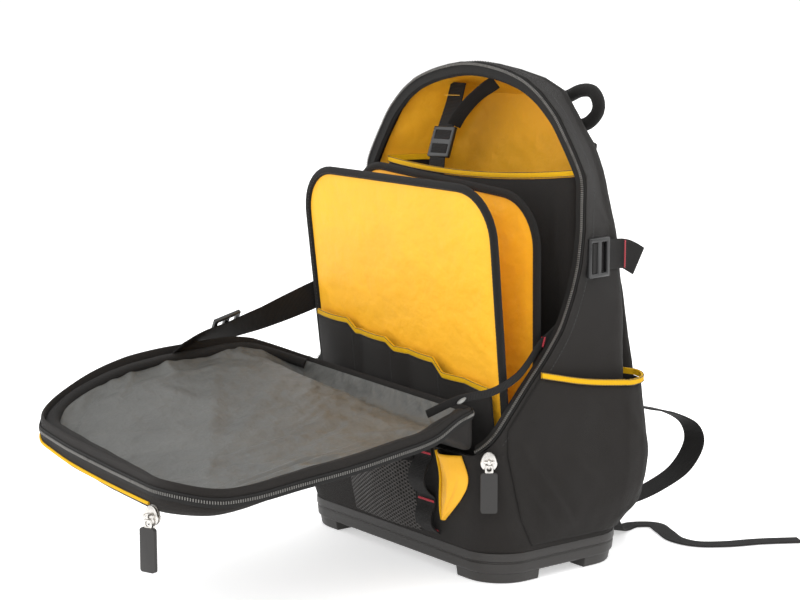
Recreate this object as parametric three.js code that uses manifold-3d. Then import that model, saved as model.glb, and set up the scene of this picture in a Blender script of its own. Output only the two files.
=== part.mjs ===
// Tool backpack, opened: a moulded base tub, a fabric body with an arched zipped
// opening at the front, two dividers, a rear pocket, and the front flap folded out
// on its limit straps. Millimetres, +Z up, the opening faces -Y, +X is its right side.
// The origin is the centre of the tub's flat underside, and the four feet reach below it.
import * as THREE from "three";
import { mergeVertices } from "three/addons/utils/BufferGeometryUtils.js";
import Module from "manifold-3d";

const wasm = await Module();
wasm.setup();

// Driving dimensions of the tub.
const baseWidth = 330;
const baseDepth = 185;
const baseHeight = 31.4; // floor to rim
const baseCorner = 45;
const baseWall = 5;
const baseFloor = 4;
const footHeight = 10;
const footLength = 62; // along the front
const footBreadth = 62; // along the side
const grooveDrop = 9; // rim to the groove round the tub
const grooveDepth = 1.6;

// Driving dimensions of the body.
const bodyWidth = 358;
const bodyTop = 506; // floor to the crown of the opening
const backDrop = 28; // crown down to the top of the back
const backTop = bodyTop - backDrop;
const zipLow = 131; // floor to the lower end of the opening
const frontShare = 1.146; // of half the tub's depth: the front wall at the hinge
const frontReach = (frontShare * baseDepth) / 2;
const openingPlane = 10; // how far behind the centre the upper opening lies
const wall = 4; // padded cloth
const cloth = 2; // single cloth
const trimHeight = 6;
const trimThick = 3.4;
const gap = 0.3; // between pieces that touch

// Driving dimensions of what hangs on it.
const zipTape = 12;
const zipThick = 2.6;
const tapeSeat = 1.2; // the tape bridges the kinks of the cut edge
const webWide = 30;
const webNarrow = 10;
const webThick = 1.8;
const dividerThick = 6;
const bindingWide = 8;
const bindingThick = 8;
const frontDividerRoom = 21; // beside it, to the body's widest place
const rearDividerRoom = 27;
const frontDividerWidth = bodyWidth - 2 * frontDividerRoom;
const rearDividerWidth = bodyWidth - 2 * rearDividerRoom;
const frontDividerDrop = 111; // crown down to its top edge
const rearDividerDrop = 106;
const frontDividerTop = bodyTop - frontDividerDrop;
const rearDividerTop = bodyTop - rearDividerDrop;
const dividerCorner = 52;
const flapReach = 331; // hinge to the far end
const flapRoom = 12; // the flap is this much narrower on each side than the body
const flapWidth = bodyWidth - 2 * flapRoom;
const flapDepth = 15;
const flapCorner = 52;
const flapBinding = 12;
const flapZip = 5;
const pullWidth = 16;
const pullLength = 39;
const pullThick = 4;
const linkLength = 17;
const strapPad = 62;
const strapPadThick = 13;

const half = bodyWidth / 2;
const backReach = baseDepth / 2;
const up = new THREE.Vector3(0, 0, 1);
const right = new THREE.Vector3(1, 0, 0);
const left = new THREE.Vector3(-1, 0, 0);

// Points from shares of half the width, of half the tub's depth and of the crown's height.
const spots = (rows) => rows.map(([x, y, z]) => [x * half, y * backReach, z * bodyTop]);

const finishes = {
  tub: { color: 0x34312f, roughness: 0.62, metalness: 0 },
  cloth: { color: 0x24211f, roughness: 0.9, metalness: 0 },
  lining: { color: 0x55544f, roughness: 0.5, metalness: 0 },
  panel: { color: 0xe9a52c, roughness: 0.75, metalness: 0 },
  trim: { color: 0xf0b400, roughness: 0.7, metalness: 0 },
  web: { color: 0x1d1c1b, roughness: 0.85, metalness: 0 },
  buckle: { color: 0x151515, roughness: 0.35, metalness: 0 },
  zip: { color: 0x2b2a29, roughness: 0.5, metalness: 0.3 },
  metal: { color: 0xb9b6b0, roughness: 0.3, metalness: 1 },
  rubber: { color: 0x262524, roughness: 0.6, metalness: 0 },
};

const pack = new THREE.Group();

function material(finish) {
  return new THREE.MeshStandardMaterial({ ...finishes[finish], side: THREE.FrontSide });
}

function put(name, geometry, finish, group = pack) {
  const mesh = new THREE.Mesh(geometry, material(finish));
  mesh.name = name;
  group.add(mesh);
  return mesh;
}

// Value at x in a table of [place, value] rows, joined by straight runs.
function along(table, x) {
  if (x <= table[0][0]) return table[0][1];
  for (let i = 1; i < table.length; i++) {
    const [x1, v1] = table[i];
    const [x0, v0] = table[i - 1];
    if (x <= x1) return v0 + ((v1 - v0) * (x - x0)) / (x1 - x0);
  }
  return table[table.length - 1][1];
}

// Closed mesh from vertices and faces, turned so that its faces point out.
function closed(vertices, faces) {
  let volume = 0;
  for (const [a, b, c] of faces) {
    volume += vertices[a].dot(new THREE.Vector3().crossVectors(vertices[b], vertices[c]));
  }
  const out = volume < 0 ? faces.map(([a, b, c]) => [a, c, b]) : faces;
  const geometry = new THREE.BufferGeometry();
  geometry.setAttribute("position",
    new THREE.Float32BufferAttribute(vertices.flatMap((v) => [v.x, v.y, v.z]), 3));
  geometry.setIndex(out.flat());
  geometry.computeVertexNormals();
  return geometry;
}

// Solid through loops of equal count, its first and last loop closed by a fan.
function skin(loops) {
  const count = loops[0].length;
  const vertices = loops.flat();
  const faces = [];
  for (let k = 0; k + 1 < loops.length; k++) {
    for (let i = 0; i < count; i++) {
      const j = (i + 1) % count;
      const a = k * count + i;
      const b = k * count + j;
      faces.push([a, b, b + count], [a, b + count, a + count]);
    }
  }
  for (const [loop, start, turn] of [
    [loops[0], 0, true],
    [loops[loops.length - 1], (loops.length - 1) * count, false],
  ]) {
    const middle = loop.reduce((sum, p) => sum.add(p), new THREE.Vector3()).divideScalar(count);
    vertices.push(middle);
    const m = vertices.length - 1;
    for (let i = 0; i < count; i++) {
      const j = (i + 1) % count;
      faces.push(turn ? [m, start + j, start + i] : [m, start + i, start + j]);
    }
  }
  return closed(vertices, faces);
}

// Sheet of cloth over a surface given as a function of two shares, with a wall's
// thickness on the side that its normal points to.
function sheet(surface, across, high, thick) {
  const step = 1e-3;
  const face = [];
  const back = [];
  for (let j = 0; j <= high; j++) {
    for (let i = 0; i <= across; i++) {
      const u = i / across;
      const v = j / high;
      const p = surface(u, v);
      const du = surface(Math.min(u + step, 1), v).sub(surface(Math.max(u - step, 0), v));
      const dv = surface(u, Math.min(v + step, 1)).sub(surface(u, Math.max(v - step, 0)));
      const normal = du.cross(dv).normalize();
      face.push(p);
      back.push(p.clone().addScaledVector(normal, thick));
    }
  }
  const row = across + 1;
  const count = face.length;
  const faces = [];
  for (let j = 0; j < high; j++) {
    for (let i = 0; i < across; i++) {
      const a = j * row + i;
      faces.push([a, a + row + 1, a + 1], [a, a + row, a + row + 1]);
      faces.push([count + a, count + a + 1, count + a + row + 1]);
      faces.push([count + a, count + a + row + 1, count + a + row]);
    }
  }
  const edge = [];
  for (let i = 0; i < across; i++) edge.push(i);
  for (let j = 0; j < high; j++) edge.push(j * row + across);
  for (let i = across; i > 0; i--) edge.push(high * row + i);
  for (let j = high; j > 0; j--) edge.push(j * row);
  edge.forEach((a, k) => {
    const b = edge[(k + 1) % edge.length];
    faces.push([a, b, count + b], [a, count + b, count + a]);
  });
  return closed([...face, ...back], faces);
}

const flatSection = [[-0.5, 0], [0.5, 0], [0.5, 1], [-0.5, 1]];
const softSection = [
  [-0.5, 0.3], [-0.36, 0], [0.36, 0], [0.5, 0.3], [0.5, 0.7], [0.36, 1], [-0.36, 1], [-0.5, 0.7],
];

// Strap of a width and thickness along a path. side(share, forward) is the way its
// width runs, and the thickness grows along side x forward.
function strap(points, side, width, thick, steps, section = flatSection) {
  const path = new THREE.CatmullRomCurve3(points.map((p) => new THREE.Vector3(...p)), false, "centripetal");
  const loops = [];
  for (let k = 0; k <= steps; k++) {
    const share = k / steps;
    const at = path.getPoint(share);
    const forward = path.getTangent(share);
    const wide = side(share, forward).clone();
    wide.addScaledVector(forward, -wide.dot(forward)).normalize();
    const rise = new THREE.Vector3().crossVectors(wide, forward).normalize();
    const w = typeof width === "function" ? width(share) : width;
    loops.push(section.map(([a, b]) =>
      at.clone().addScaledVector(wide, a * w).addScaledVector(rise, b * thick)));
  }
  return skin(loops);
}

// Solid for cutting and joining, and back to a geometry.
function solid(geometry) {
  const bare = geometry.clone();
  bare.deleteAttribute("normal");
  bare.deleteAttribute("uv");
  const merged = mergeVertices(bare, 1e-4);
  return new wasm.Manifold(new wasm.Mesh({
    numProp: 3,
    vertProperties: new Float32Array(merged.attributes.position.array),
    triVerts: new Uint32Array(merged.index.array),
  }));
}

function geometryOf(made) {
  const mesh = made.getMesh();
  const geometry = new THREE.BufferGeometry();
  geometry.setAttribute("position", new THREE.BufferAttribute(new Float32Array(mesh.vertProperties), 3));
  geometry.setIndex(new THREE.BufferAttribute(new Uint32Array(mesh.triVerts), 1));
  geometry.computeVertexNormals();
  return geometry;
}

function block(x, y, z, at) {
  return new THREE.BoxGeometry(x, y, z).translate(...at);
}

// Rounded rectangle as a closed loop of points at one height.
function roundLoop(width, depth, corner, height, arc = 4) {
  const loop = [];
  const corners = [[1, -1, -90], [1, 1, 0], [-1, 1, 90], [-1, -1, 180]];
  for (const [sx, sy, start] of corners) {
    for (let k = 0; k <= arc; k++) {
      const turn = THREE.MathUtils.degToRad(start + (90 * k) / arc);
      loop.push(new THREE.Vector3(
        sx * (width / 2 - corner) + corner * Math.cos(turn),
        sy * (depth / 2 - corner) + corner * Math.sin(turn), height));
    }
  }
  return loop;
}

// Tub: a moulded tray with a groove under its rim, a recessed floor and a foot at
// each corner, which leaves the edges between them raised.
function makeTub() {
  const rim = baseHeight;
  const low = footHeight;
  const grooveTop = rim - grooveDrop;
  const loopAt = (inset, height) =>
    roundLoop(baseWidth - 2 * inset, baseDepth - 2 * inset, baseCorner - inset, height);
  const tray = solid(skin([
    loopAt(3, low),
    loopAt(1.2, low + 3),
    loopAt(0.6, grooveTop - 2),
    loopAt(grooveDepth, grooveTop - 1),
    loopAt(grooveDepth, grooveTop),
    loopAt(0.2, grooveTop + 1),
    loopAt(0, rim),
  ]));
  const hollow = solid(skin([loopAt(baseWall + 2, low + baseFloor), loopAt(baseWall, rim + 1)]));
  let made = tray;
  const footSkin = solid(skin([loopAt(4, 0), loopAt(1.5, 4), loopAt(1.5, low + 2)]));
  const footRing = footSkin.subtract(solid(skin([loopAt(26, -1), loopAt(26, low + 3)])));
  for (const sx of [-1, 1]) {
    for (const sy of [-1, 1]) {
      const corner = solid(block(footLength * 2, footBreadth * 2, baseHeight,
        [(sx * baseWidth) / 2, (sy * baseDepth) / 2, 0]));
      made = made.add(footRing.intersect(corner));
    }
  }
  return geometryOf(made.subtract(hollow));
}

// The body's plan sections. Heights are shares of the crown height, half widths are
// shares of half the body's width, reaches are shares of half the tub's depth.
const sections = [
  // height, front half, back half, front reach, back reach, front corner, back corner
  [0.063, 0.922, 0.922, -1.0, 1.0, 45, 45],
  [0.13, 0.93, 0.93, -1.08, 1.0, 34, 38],
  [0.259, 0.934, 0.93, -frontShare, 1.0, 22, 32],
  [0.395, 0.94, 0.932, -frontShare, 1.0, 20, 28],
  [0.488, 0.955, 0.91, -1.14, 1.0, 16, 26],
  [0.563, 0.978, 0.885, -1.1, 1.0, 12, 24],
  [0.622, 0.991, 0.855, -0.5, 1.0, 8, 23],
  [0.682, 1.0, 0.82, -0.5, 1.0, 6, 22],
  [0.783, 0.998, 0.72, -0.4, 1.0, 6, 20],
  [0.832, 0.91, 0.65, -0.4, 1.0, 6, 20],
  [0.899, 0.775, 0.49, -0.4, 1.0, 6, 18],
  [0.94, 0.64, 0.39, -0.4, 0.98, 6, 16],
  [0.966, 0.51, 0.35, -0.4, 0.72, 6, 12],
  [0.984, 0.38, 0.28, -0.4, 0.45, 6, 8],
  [0.995, 0.23, 0.18, -0.4, 0.28, 4, 4],
  [1.0, 0.1, 0.08, -0.4, 0.16, 2, 2],
];
const column = (k, unit) => sections.map((row) => [row[0] * bodyTop, row[k] * unit]);
const frontHalf = column(1, half);
const backHalf = column(2, half);
const frontLine = column(3, backReach);
const backLine = column(4, backReach);
const frontCorner = column(5, 1);
const backCorner = column(6, 1);

const crownShare = 0.8; // above this share of the height the wall also thins downwards

// Side profile of the opening: [reach, height] from its lower end up to the crown.
const openingProfile = [
  [-frontReach, zipLow],
  [-0.66 * backReach, 0.364 * bodyTop],
  [-0.32 * backReach, 0.435 * bodyTop],
  [-0.11 * backReach, 0.488 * bodyTop],
  [0.5 * openingPlane, 0.563 * bodyTop],
  [openingPlane, 0.682 * bodyTop],
  [openingPlane, bodyTop],
];
const openingReach = (z) => along(openingProfile.map(([y, h]) => [h, y]), z);

// Half of one plan section, from the front centre round the right side to the back.
const arcSteps = 4;
const sideSteps = 4;
function halfSection(z, inset = 0) {
  const wf = along(frontHalf, z) - inset;
  const wb = along(backHalf, z) - inset;
  const yf = along(frontLine, z) + inset;
  const yb = along(backLine, z) - inset;
  const rf = Math.max(along(frontCorner, z) - inset, 1);
  const rb = Math.max(along(backCorner, z) - inset, 1);
  const points = [[0, yf]];
  for (let k = 0; k <= arcSteps; k++) {
    const turn = (-Math.PI / 2) * (1 - k / arcSteps);
    points.push([wf - rf + rf * Math.cos(turn), yf + rf + rf * Math.sin(turn)]);
  }
  const split = Math.min(openingPlane, (yf + rf + yb - rb) / 2);
  for (let k = 1; k <= sideSteps; k++) {
    const y = yf + rf + ((yb - rb - yf - rf) * k) / (sideSteps + 1);
    const share = y < split ? 0 : (y - split) / (yb - rb - split);
    points.push([wf + (wb - wf) * share, y]);
  }
  for (let k = 0; k <= arcSteps; k++) {
    const turn = (Math.PI / 2) * (k / arcSteps);
    points.push([wb - rb + rb * Math.cos(turn), yb - rb + rb * Math.sin(turn)]);
  }
  points.push([0, yb]);
  return points;
}

function sectionLoop(z, inset = 0, drop = 0) {
  const points = halfSection(z, inset);
  const mirrored = points.slice(1, -1).reverse().map(([x, y]) => [-x, y]);
  return [...points, ...mirrored].map(([x, y]) => new THREE.Vector3(x, y, z - drop));
}

// Half width of the body at a reach and a height.
function halfAt(y, z) {
  const points = halfSection(z);
  for (let i = 1; i < points.length; i++) {
    const [x0, y0] = points[i - 1];
    const [x1, y1] = points[i];
    if (y >= y0 && y <= y1 && y1 > y0) return x0 + ((x1 - x0) * (y - y0)) / (y1 - y0);
  }
  return points[points.length - 2][0];
}

// Height of the roof's inner face over a place in plan.
function underRoof(x, y) {
  const crown = crownShare * bodyTop;
  for (let z = bodyTop; z > crown; z -= 0.25) {
    const depth = along(backLine, z) - wall;
    if (y > depth) continue;
    const points = halfSection(z, wall);
    const inside = points.some(([px, py], i) => {
      if (i === 0) return false;
      const [qx, qy] = points[i - 1];
      if (y < Math.min(py, qy) || y > Math.max(py, qy) || py === qy) return false;
      return Math.abs(x) <= qx + ((px - qx) * (y - qy)) / (py - qy);
    });
    if (inside) return z - (wall * (z - crown)) / (bodyTop - crown);
  }
  return crown;
}

// Cut along the opening's side profile, across the whole width.
function openingCut() {
  const shape = new THREE.Shape();
  const far = 3 * frontReach;
  shape.moveTo(-far, zipLow);
  openingProfile.forEach(([y, z]) => shape.lineTo(y, z));
  shape.lineTo(openingPlane, 2 * bodyTop);
  shape.lineTo(-far, 2 * bodyTop);
  shape.closePath();
  const cut = new THREE.ExtrudeGeometry(shape, { depth: 2 * bodyWidth, bevelEnabled: false, steps: 1 });
  // The shape's x is the reach and its y the height.
  cut.translate(0, 0, -bodyWidth);
  cut.applyMatrix4(new THREE.Matrix4().makeBasis(
    new THREE.Vector3(0, 1, 0), new THREE.Vector3(0, 0, 1), new THREE.Vector3(1, 0, 0)));
  return solid(cut);
}

function makeBody() {
  const heights = sections.map((row) => row[0] * bodyTop);
  heights[0] = baseHeight + gap;
  const outer = heights.map((z) => sectionLoop(z));
  const crown = crownShare * bodyTop;
  const inner = heights.map((z) => {
    const drop = z <= crown ? 0 : (wall * (z - crown)) / (bodyTop - crown);
    return sectionLoop(z, wall, drop);
  }).reverse();
  const shell = solid(skin([...inner, ...outer]));
  return geometryOf(shell.subtract(openingCut()));
}

// Zip tape round the opening: it lies on the cut edge and runs inwards from it.
function edgeTape(thick, start) {
  const rows = [];
  const heights = sections.map((row) => row[0] * bodyTop).filter((z) => z > start);
  const list = [start, (start + heights[0]) / 2, ...heights.slice(0, -1), 0.9985 * bodyTop];
  for (const z of list) {
    const y = openingReach(z);
    rows.push([halfAt(Math.max(y, along(frontLine, z)), z), y, z]);
  }
  const points = [...rows, [0, openingPlane, bodyTop + 0.4],
    ...rows.slice().reverse().map(([x, y, z]) => [-x, y, z])];
  const path = new THREE.CatmullRomCurve3(points.map((p) => new THREE.Vector3(...p)), false, "centripetal");
  const loops = [];
  const steps = 48;
  for (let k = 0; k <= steps; k++) {
    const share = k / steps;
    const at = path.getPoint(share);
    const forward = path.getTangent(share);
    const below = openingReach(at.z - 2);
    const above = openingReach(at.z + 2);
    const out = new THREE.Vector3(0, -4, above - below).normalize();
    const inward = new THREE.Vector3().crossVectors(out, forward).normalize();
    const centre = new THREE.Vector3(-at.x, 0, 0.62 * bodyTop - at.z);
    if (inward.dot(centre) < 0) inward.negate();
    const width = zipTape * along([[zipLow, 0.58], [0.563 * bodyTop, 0.58], [0.66 * bodyTop, 1]], at.z);
    const corner = (a, b) => at.clone().addScaledVector(inward, a).addScaledVector(out, b);
    const seat = tapeSeat;
    loops.push([corner(0, seat), corner(width, seat), corner(width, seat + thick), corner(0, seat + thick)]);
  }
  return skin(loops);
}

// Board in the XZ plane with rounded upper corners, from an outline inset by a margin.
const footTaper = 5; // a divider is this much narrower on each side at its foot
function dividerShape(width, low, high, corner, inset) {
  const w = width / 2 - inset;
  const r = corner - inset;
  const top = high - inset;
  const shape = new THREE.Shape();
  shape.moveTo(-w + footTaper, low);
  shape.lineTo(w - footTaper, low);
  shape.lineTo(w, top - r);
  shape.absarc(w - r, top - r, r, 0, Math.PI / 2, false);
  shape.lineTo(-w + r, top);
  shape.absarc(-w + r, top - r, r, Math.PI / 2, Math.PI, false);
  shape.closePath();
  return shape;
}

function boardXZ(shape, thick) {
  const board = new THREE.ExtrudeGeometry(shape, {
    depth: thick, bevelEnabled: false, steps: 1, curveSegments: 6,
  });
  return board.rotateX(Math.PI / 2).translate(0, thick / 2, 0);
}

// A divider: a padded board with a bound edge, leaning from its foot line, its top
// edge falling towards the right side.
function makeDivider(name, width, high, low, lean, fall, reach) {
  const place = (geometry) => {
    const position = geometry.getAttribute("position");
    for (let i = 0; i < position.count; i++) {
      const z = position.getZ(i);
      const share = Math.max(z - low, 0) / (high - low);
      position.setZ(i, z - position.getX(i) * fall * share);
    }
    return geometry
      .translate(0, 0, -low)
      .rotateX(THREE.MathUtils.degToRad(lean))
      .translate(0, reach, low);
  };
  const inner = dividerShape(width, low, high, dividerCorner, bindingWide + gap);
  const outer = dividerShape(width, low, high, dividerCorner, 0);
  put(name, place(boardXZ(inner, dividerThick)), "panel");
  const hole = dividerShape(width, low - 1, high, dividerCorner, bindingWide);
  const inset = solid(boardXZ(hole, 2 * bindingThick));
  const rim = geometryOf(solid(boardXZ(outer, bindingThick)).subtract(inset));
  put(`${name}_binding`, place(rim), "cloth");
  return place;
}

// Rear pocket: a panel that bows forward and sags, with its ends turned back.
const rearDrop = 103; // crown down to its edge
const rearTop = bodyTop - rearDrop;
const rearSag = 11;
const rearRoom = 28; // beside its flat run
const rearStand = 22; // its face at the foot, behind the centre
const rearReturn = 44; // how far its ends turn back
const rearBow = 9;
const rearHalf = half - rearRoom;
function rearPocket(u, v, high) {
  const x = (u - 0.5) * 2;
  const turned = Math.max(0, Math.abs(x) - 0.86) / 0.14;
  const across = Math.sign(x) * (rearHalf * Math.min(Math.abs(x) / 0.86, 1) + 9 * turned);
  const sag = rearSag * (1 - Math.min(x * x, 1));
  const low = baseHeight + 6;
  const z = low + (high - sag - low) * v;
  const bow = rearBow * (1 - Math.min(1, x * x)) * v;
  const y = rearStand - bow + rearReturn * turned * turned;
  const room = halfAt(y, z) - wall - along([[0.7 * bodyTop, 4], [0.8 * bodyTop, 9.5]], z);
  return new THREE.Vector3(THREE.MathUtils.clamp(across, -room, room), y, z);
}

// Side pocket: hugs the body's side and back corner at its edges and stands off it
// between them. Index runs over the half section's points.
const pocketLow = 37;
// [share along it, height as a share of the crown's]
const pocketTop = [
  [0, 0.413], [0.1, 0.4051], [0.25, 0.3933], [0.4, 0.3844], [0.6, 0.3775], [0.8, 0.3794], [1, 0.3874],
];
const pocketDeep = 27;
// [share along it, share of its depth]
const pocketBulge = [
  [0, 0], [0.08, 0.1111], [0.25, 0.3333], [0.45, 0.5185], [0.65, 0.7778], [0.82, 1], [0.93, 0.7407],
  [1, 0.0185],
];
// [share up it, share of the bulge]
const pocketFill = [[0, 0.12], [0.15, 0.6], [0.4, 1], [0.75, 0.85], [1, 0.62]];
function bodyPoint(z, index) {
  const points = halfSection(z);
  const i = Math.min(Math.floor(index), points.length - 2);
  const [x0, y0] = points[i];
  const [x1, y1] = points[i + 1];
  const share = index - i;
  const way = new THREE.Vector3(x1 - x0, y1 - y0, 0).normalize();
  return {
    at: new THREE.Vector3(x0 + (x1 - x0) * share, y0 + (y1 - y0) * share, z),
    out: new THREE.Vector3(way.y, -way.x, 0),
  };
}
const pocketSeam = 6; // from the opening's edge back to the pocket's front seam
const pocketEnd = 2 * arcSteps + sideSteps + 1.6;
// Index over the half section where the pocket's front seam runs.
function pocketStart(z) {
  const points = halfSection(z);
  const seam = Math.max(openingReach(z), points[arcSteps + 1][1]) + pocketSeam;
  let i = arcSteps + 1;
  while (points[i + 1][1] < seam) i++;
  return i + (seam - points[i][1]) / (points[i + 1][1] - points[i][1]);
}
function sidePocket(u, v, top) {
  const z = pocketLow + (along(pocketTop, u) * bodyTop + top - pocketLow) * v;
  const start = pocketStart(z);
  const index = start + (pocketEnd - start) * u;
  const here = bodyPoint(z, index);
  const near = bodyPoint(z, Math.max(index - 0.6, 0));
  const next = bodyPoint(z, index + 0.6);
  const out = here.out.clone().add(near.out).add(next.out).normalize();
  const stand = 0.95 + pocketDeep * along(pocketBulge, u) * along(pocketFill, v);
  return here.at.addScaledVector(out, stand);
}

function mirrored(geometry) {
  const copy = geometry.clone();
  const position = copy.getAttribute("position");
  for (let i = 0; i < position.count; i++) position.setX(i, -position.getX(i));
  const index = copy.getIndex();
  for (let i = 0; i < index.count; i += 3) {
    const b = index.getX(i + 1);
    index.setX(i + 1, index.getX(i + 2));
    index.setX(i + 2, b);
  }
  copy.computeVertexNormals();
  return copy;
}

// Three-bar slide for webbing, flat in its own XZ plane with the strap running along X.
function slideBuckle(width) {
  const long = 34;
  const high = width + 9;
  const shape = new THREE.Shape();
  shape.moveTo(-long / 2 + 3, -high / 2);
  shape.lineTo(long / 2 - 3, -high / 2);
  shape.lineTo(long / 2, -high / 2 + 3);
  shape.lineTo(long / 2, high / 2 - 3);
  shape.lineTo(long / 2 - 3, high / 2);
  shape.lineTo(-long / 2 + 3, high / 2);
  shape.lineTo(-long / 2, high / 2 - 3);
  shape.lineTo(-long / 2, -high / 2 + 3);
  shape.closePath();
  const slotLength = 9.5;
  for (const [x, room] of [[-long / 2 + 4.5, 0.6], [3, 0]]) {
    const reach = width / 2 + room;
    const hole = new THREE.Path();
    hole.moveTo(x, -reach);
    hole.lineTo(x, reach);
    hole.lineTo(x + slotLength, reach);
    hole.lineTo(x + slotLength, -reach);
    hole.closePath();
    shape.holes.push(hole);
  }
  const frame = new THREE.ExtrudeGeometry(shape, { depth: 4.5, bevelEnabled: false, steps: 1 });
  return frame.rotateX(Math.PI / 2);
}

function placed(geometry, at, along_, out) {
  const x = new THREE.Vector3(...along_).normalize();
  const y = new THREE.Vector3(...out).negate();
  y.addScaledVector(x, -y.dot(x)).normalize();
  const z = new THREE.Vector3().crossVectors(x, y);
  const turned = geometry.clone().applyMatrix4(new THREE.Matrix4().makeBasis(x, y, z));
  return turned.translate(...at);
}

// The open flap's rim: [share of its reach, height as a share of the crown's].
const rimRight = [
  [0, 0.3478], [0.08, 0.3518], [0.2, 0.3221], [0.34, 0.3063], [0.47, 0.2945], [0.64, 0.2846],
  [0.79, 0.2757], [0.9, 0.2777], [1, 0.2905],
];
const rimLeft = [
  [0, 0.3755], [0.08, 0.3893], [0.23, 0.4091], [0.38, 0.4071], [0.53, 0.4012], [0.63, 0.3913],
  [0.73, 0.3715], [0.84, 0.3379], [1, 0.2964],
];
const flapSag = 9;
const flapDeep = [[0, 1], [0.6, 0.8], [0.8, 0.93], [0.92, 1.25], [1, 1.6]];
const flapNear = -frontReach + wall + 3; // its hinge edge stands over the front wall
const flapFar = -frontReach - flapReach;
function rimHeight(x, y) {
  const s = (flapNear - y) / (flapNear - flapFar);
  const side = THREE.MathUtils.clamp(x / flapWidth + 0.5, 0, 1);
  return (along(rimLeft, s) * (1 - side) + along(rimRight, s) * side) * bodyTop;
}
function underHeight(x, y) {
  const s = (flapNear - y) / (flapNear - flapFar);
  const side = THREE.MathUtils.clamp(x / flapWidth + 0.5, 0, 1);
  const sagRun = [[0, 0], [0.3, 0.4], [0.6, 1], [0.9, 0.7], [1, 0.2]];
  const sag = flapSag * Math.sin(Math.PI * side) * along(sagRun, s);
  const body = rimHeight(x, y) - flapDepth * along(flapDeep, s) - sag;
  const hinge = along([[0, 1], [0.05, 0.75], [0.16, 0]], s);
  return body * (1 - hinge) + (zipLow + 1.5 * gap) * hinge;
}

// Plan outline of the flap, from the hinge on the right round the far end to the left.
function flapOutline() {
  const w = flapWidth / 2;
  const corner = flapCorner;
  const outline = [[w - 30, flapNear], [w - 17, flapNear - 9], [w - 5, flapNear - 26]];
  for (const s of [0.2, 0.34, 0.5, 0.66]) outline.push([w, flapNear - s * flapReach]);
  for (let k = 0; k <= 5; k++) {
    const turn = (Math.PI / 2) * (k / 5);
    outline.push([w - corner + corner * Math.cos(turn), flapFar + corner - corner * Math.sin(turn)]);
  }
  for (const share of [0.75, 0.5, 0.25]) {
    const x = (share - 0.5) * 2 * (w - corner);
    outline.push([x, flapFar + 12 * (1 - share)]);
  }
  const slant = 14;
  for (let k = 5; k >= 0; k--) {
    const turn = (Math.PI / 2) * (k / 5);
    const y = flapFar + slant + corner - corner * Math.sin(turn);
    outline.push([-(w - corner + corner * Math.cos(turn)), y]);
  }
  for (const s of [0.66, 0.5, 0.34, 0.2]) outline.push([-w, flapNear - s * flapReach]);
  outline.push([-w + 5, flapNear - 26], [-w + 17, flapNear - 9], [-w + 30, flapNear]);
  return outline;
}
const flapMiddle = [0, (flapNear + flapFar) / 2];
function flapRing(inset, height) {
  const outline = flapOutline();
  const across = [];
  for (let k = 1; k < 6; k++) across.push([(flapWidth / 2 - 30) * (k / 3 - 1), flapNear]);
  return [...outline, ...across].map(([x, y]) => {
    const away = new THREE.Vector2(x - flapMiddle[0], y - flapMiddle[1]);
    const length = away.length();
    away.multiplyScalar(Math.max(length - inset * 1.12, 1) / length);
    const px = flapMiddle[0] + away.x;
    const py = flapMiddle[1] + away.y;
    return new THREE.Vector3(px, py, height(px, py));
  });
}
function makeFlapShell() {
  const under = (lift) => (x, y) => underHeight(x, y) + lift;
  const rim = (drop) => (x, y) => rimHeight(x, y) - drop;
  return skin([
    flapRing(75, under(0)), flapRing(20, under(0)), flapRing(6, under(0.7)),
    flapRing(1, under(5)), flapRing(0, rim(0)),
    flapRing(2.5, rim(0)), flapRing(3.5, under(6.5)), flapRing(8, under(3.5)), flapRing(21, under(2.5)),
    flapRing(76, under(2.5)),
  ]);
}
// Lining: it drops from under the binding to the shell's floor and lies on it. Folds
// run from the raised left side down to the near right corner.
function liningLift(x, y) {
  const run = (x + 0.6 * (y - flapNear)) / flapWidth;
  const fold = Math.sin(run * 19) + 0.6 * Math.sin(run * 31 + y / 60);
  return 7 + 2 * fold;
}
function makeFlapLining() {
  const floor = (lift) => (x, y) => underHeight(x, y) + liningLift(x, y) + lift;
  const edge = (lift) => (x, y) => rimHeight(x, y) - 6 + lift;
  const thick = 1.4;
  return skin([
    flapRing(115, floor(0)), flapRing(75, floor(0)), flapRing(42, floor(0)),
    flapRing(20, floor(0)), flapRing(7, edge(0)), flapRing(7, edge(thick)),
    flapRing(20, floor(thick)), flapRing(42, floor(thick)), flapRing(75, floor(thick)),
    flapRing(115, floor(thick)),
  ]);
}
// Strip along the flap's rim, from one inset to another, laid on the rim's top.
function flapStrip(from, to, low, high) {
  const open = flapOutline();
  const inset = ([x, y], distance) => {
    const away = new THREE.Vector2(x - flapMiddle[0], y - flapMiddle[1]);
    const length = away.length();
    away.multiplyScalar((length - distance * 1.12) / length);
    return [flapMiddle[0] + away.x, flapMiddle[1] + away.y];
  };
  return skin(open.map((p) => {
    const [ox, oy] = inset(p, from);
    const [ix, iy] = inset(p, to);
    const zo = rimHeight(ox, oy);
    const zi = rimHeight(ix, iy);
    return [
      new THREE.Vector3(ox, oy, zo + low), new THREE.Vector3(ix, iy, zi + low),
      new THREE.Vector3(ix, iy, zi + high), new THREE.Vector3(ox, oy, zo + high),
    ];
  }));
}
// Piping on the outer wall, round the far end under the zip.
function makePiping() {
  const open = flapOutline();
  const from = 8;
  const to = open.length - 7;
  const points = open.slice(from, to).map(([x, y]) => {
    const away = new THREE.Vector2(x - flapMiddle[0], y - flapMiddle[1]);
    const length = away.length();
    away.multiplyScalar((length + 0.8) / length);
    return [flapMiddle[0] + away.x, flapMiddle[1] + away.y, rimHeight(x, y) - 7];
  });
  return strap(points, () => up, 4.4, 2, 24);
}

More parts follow.
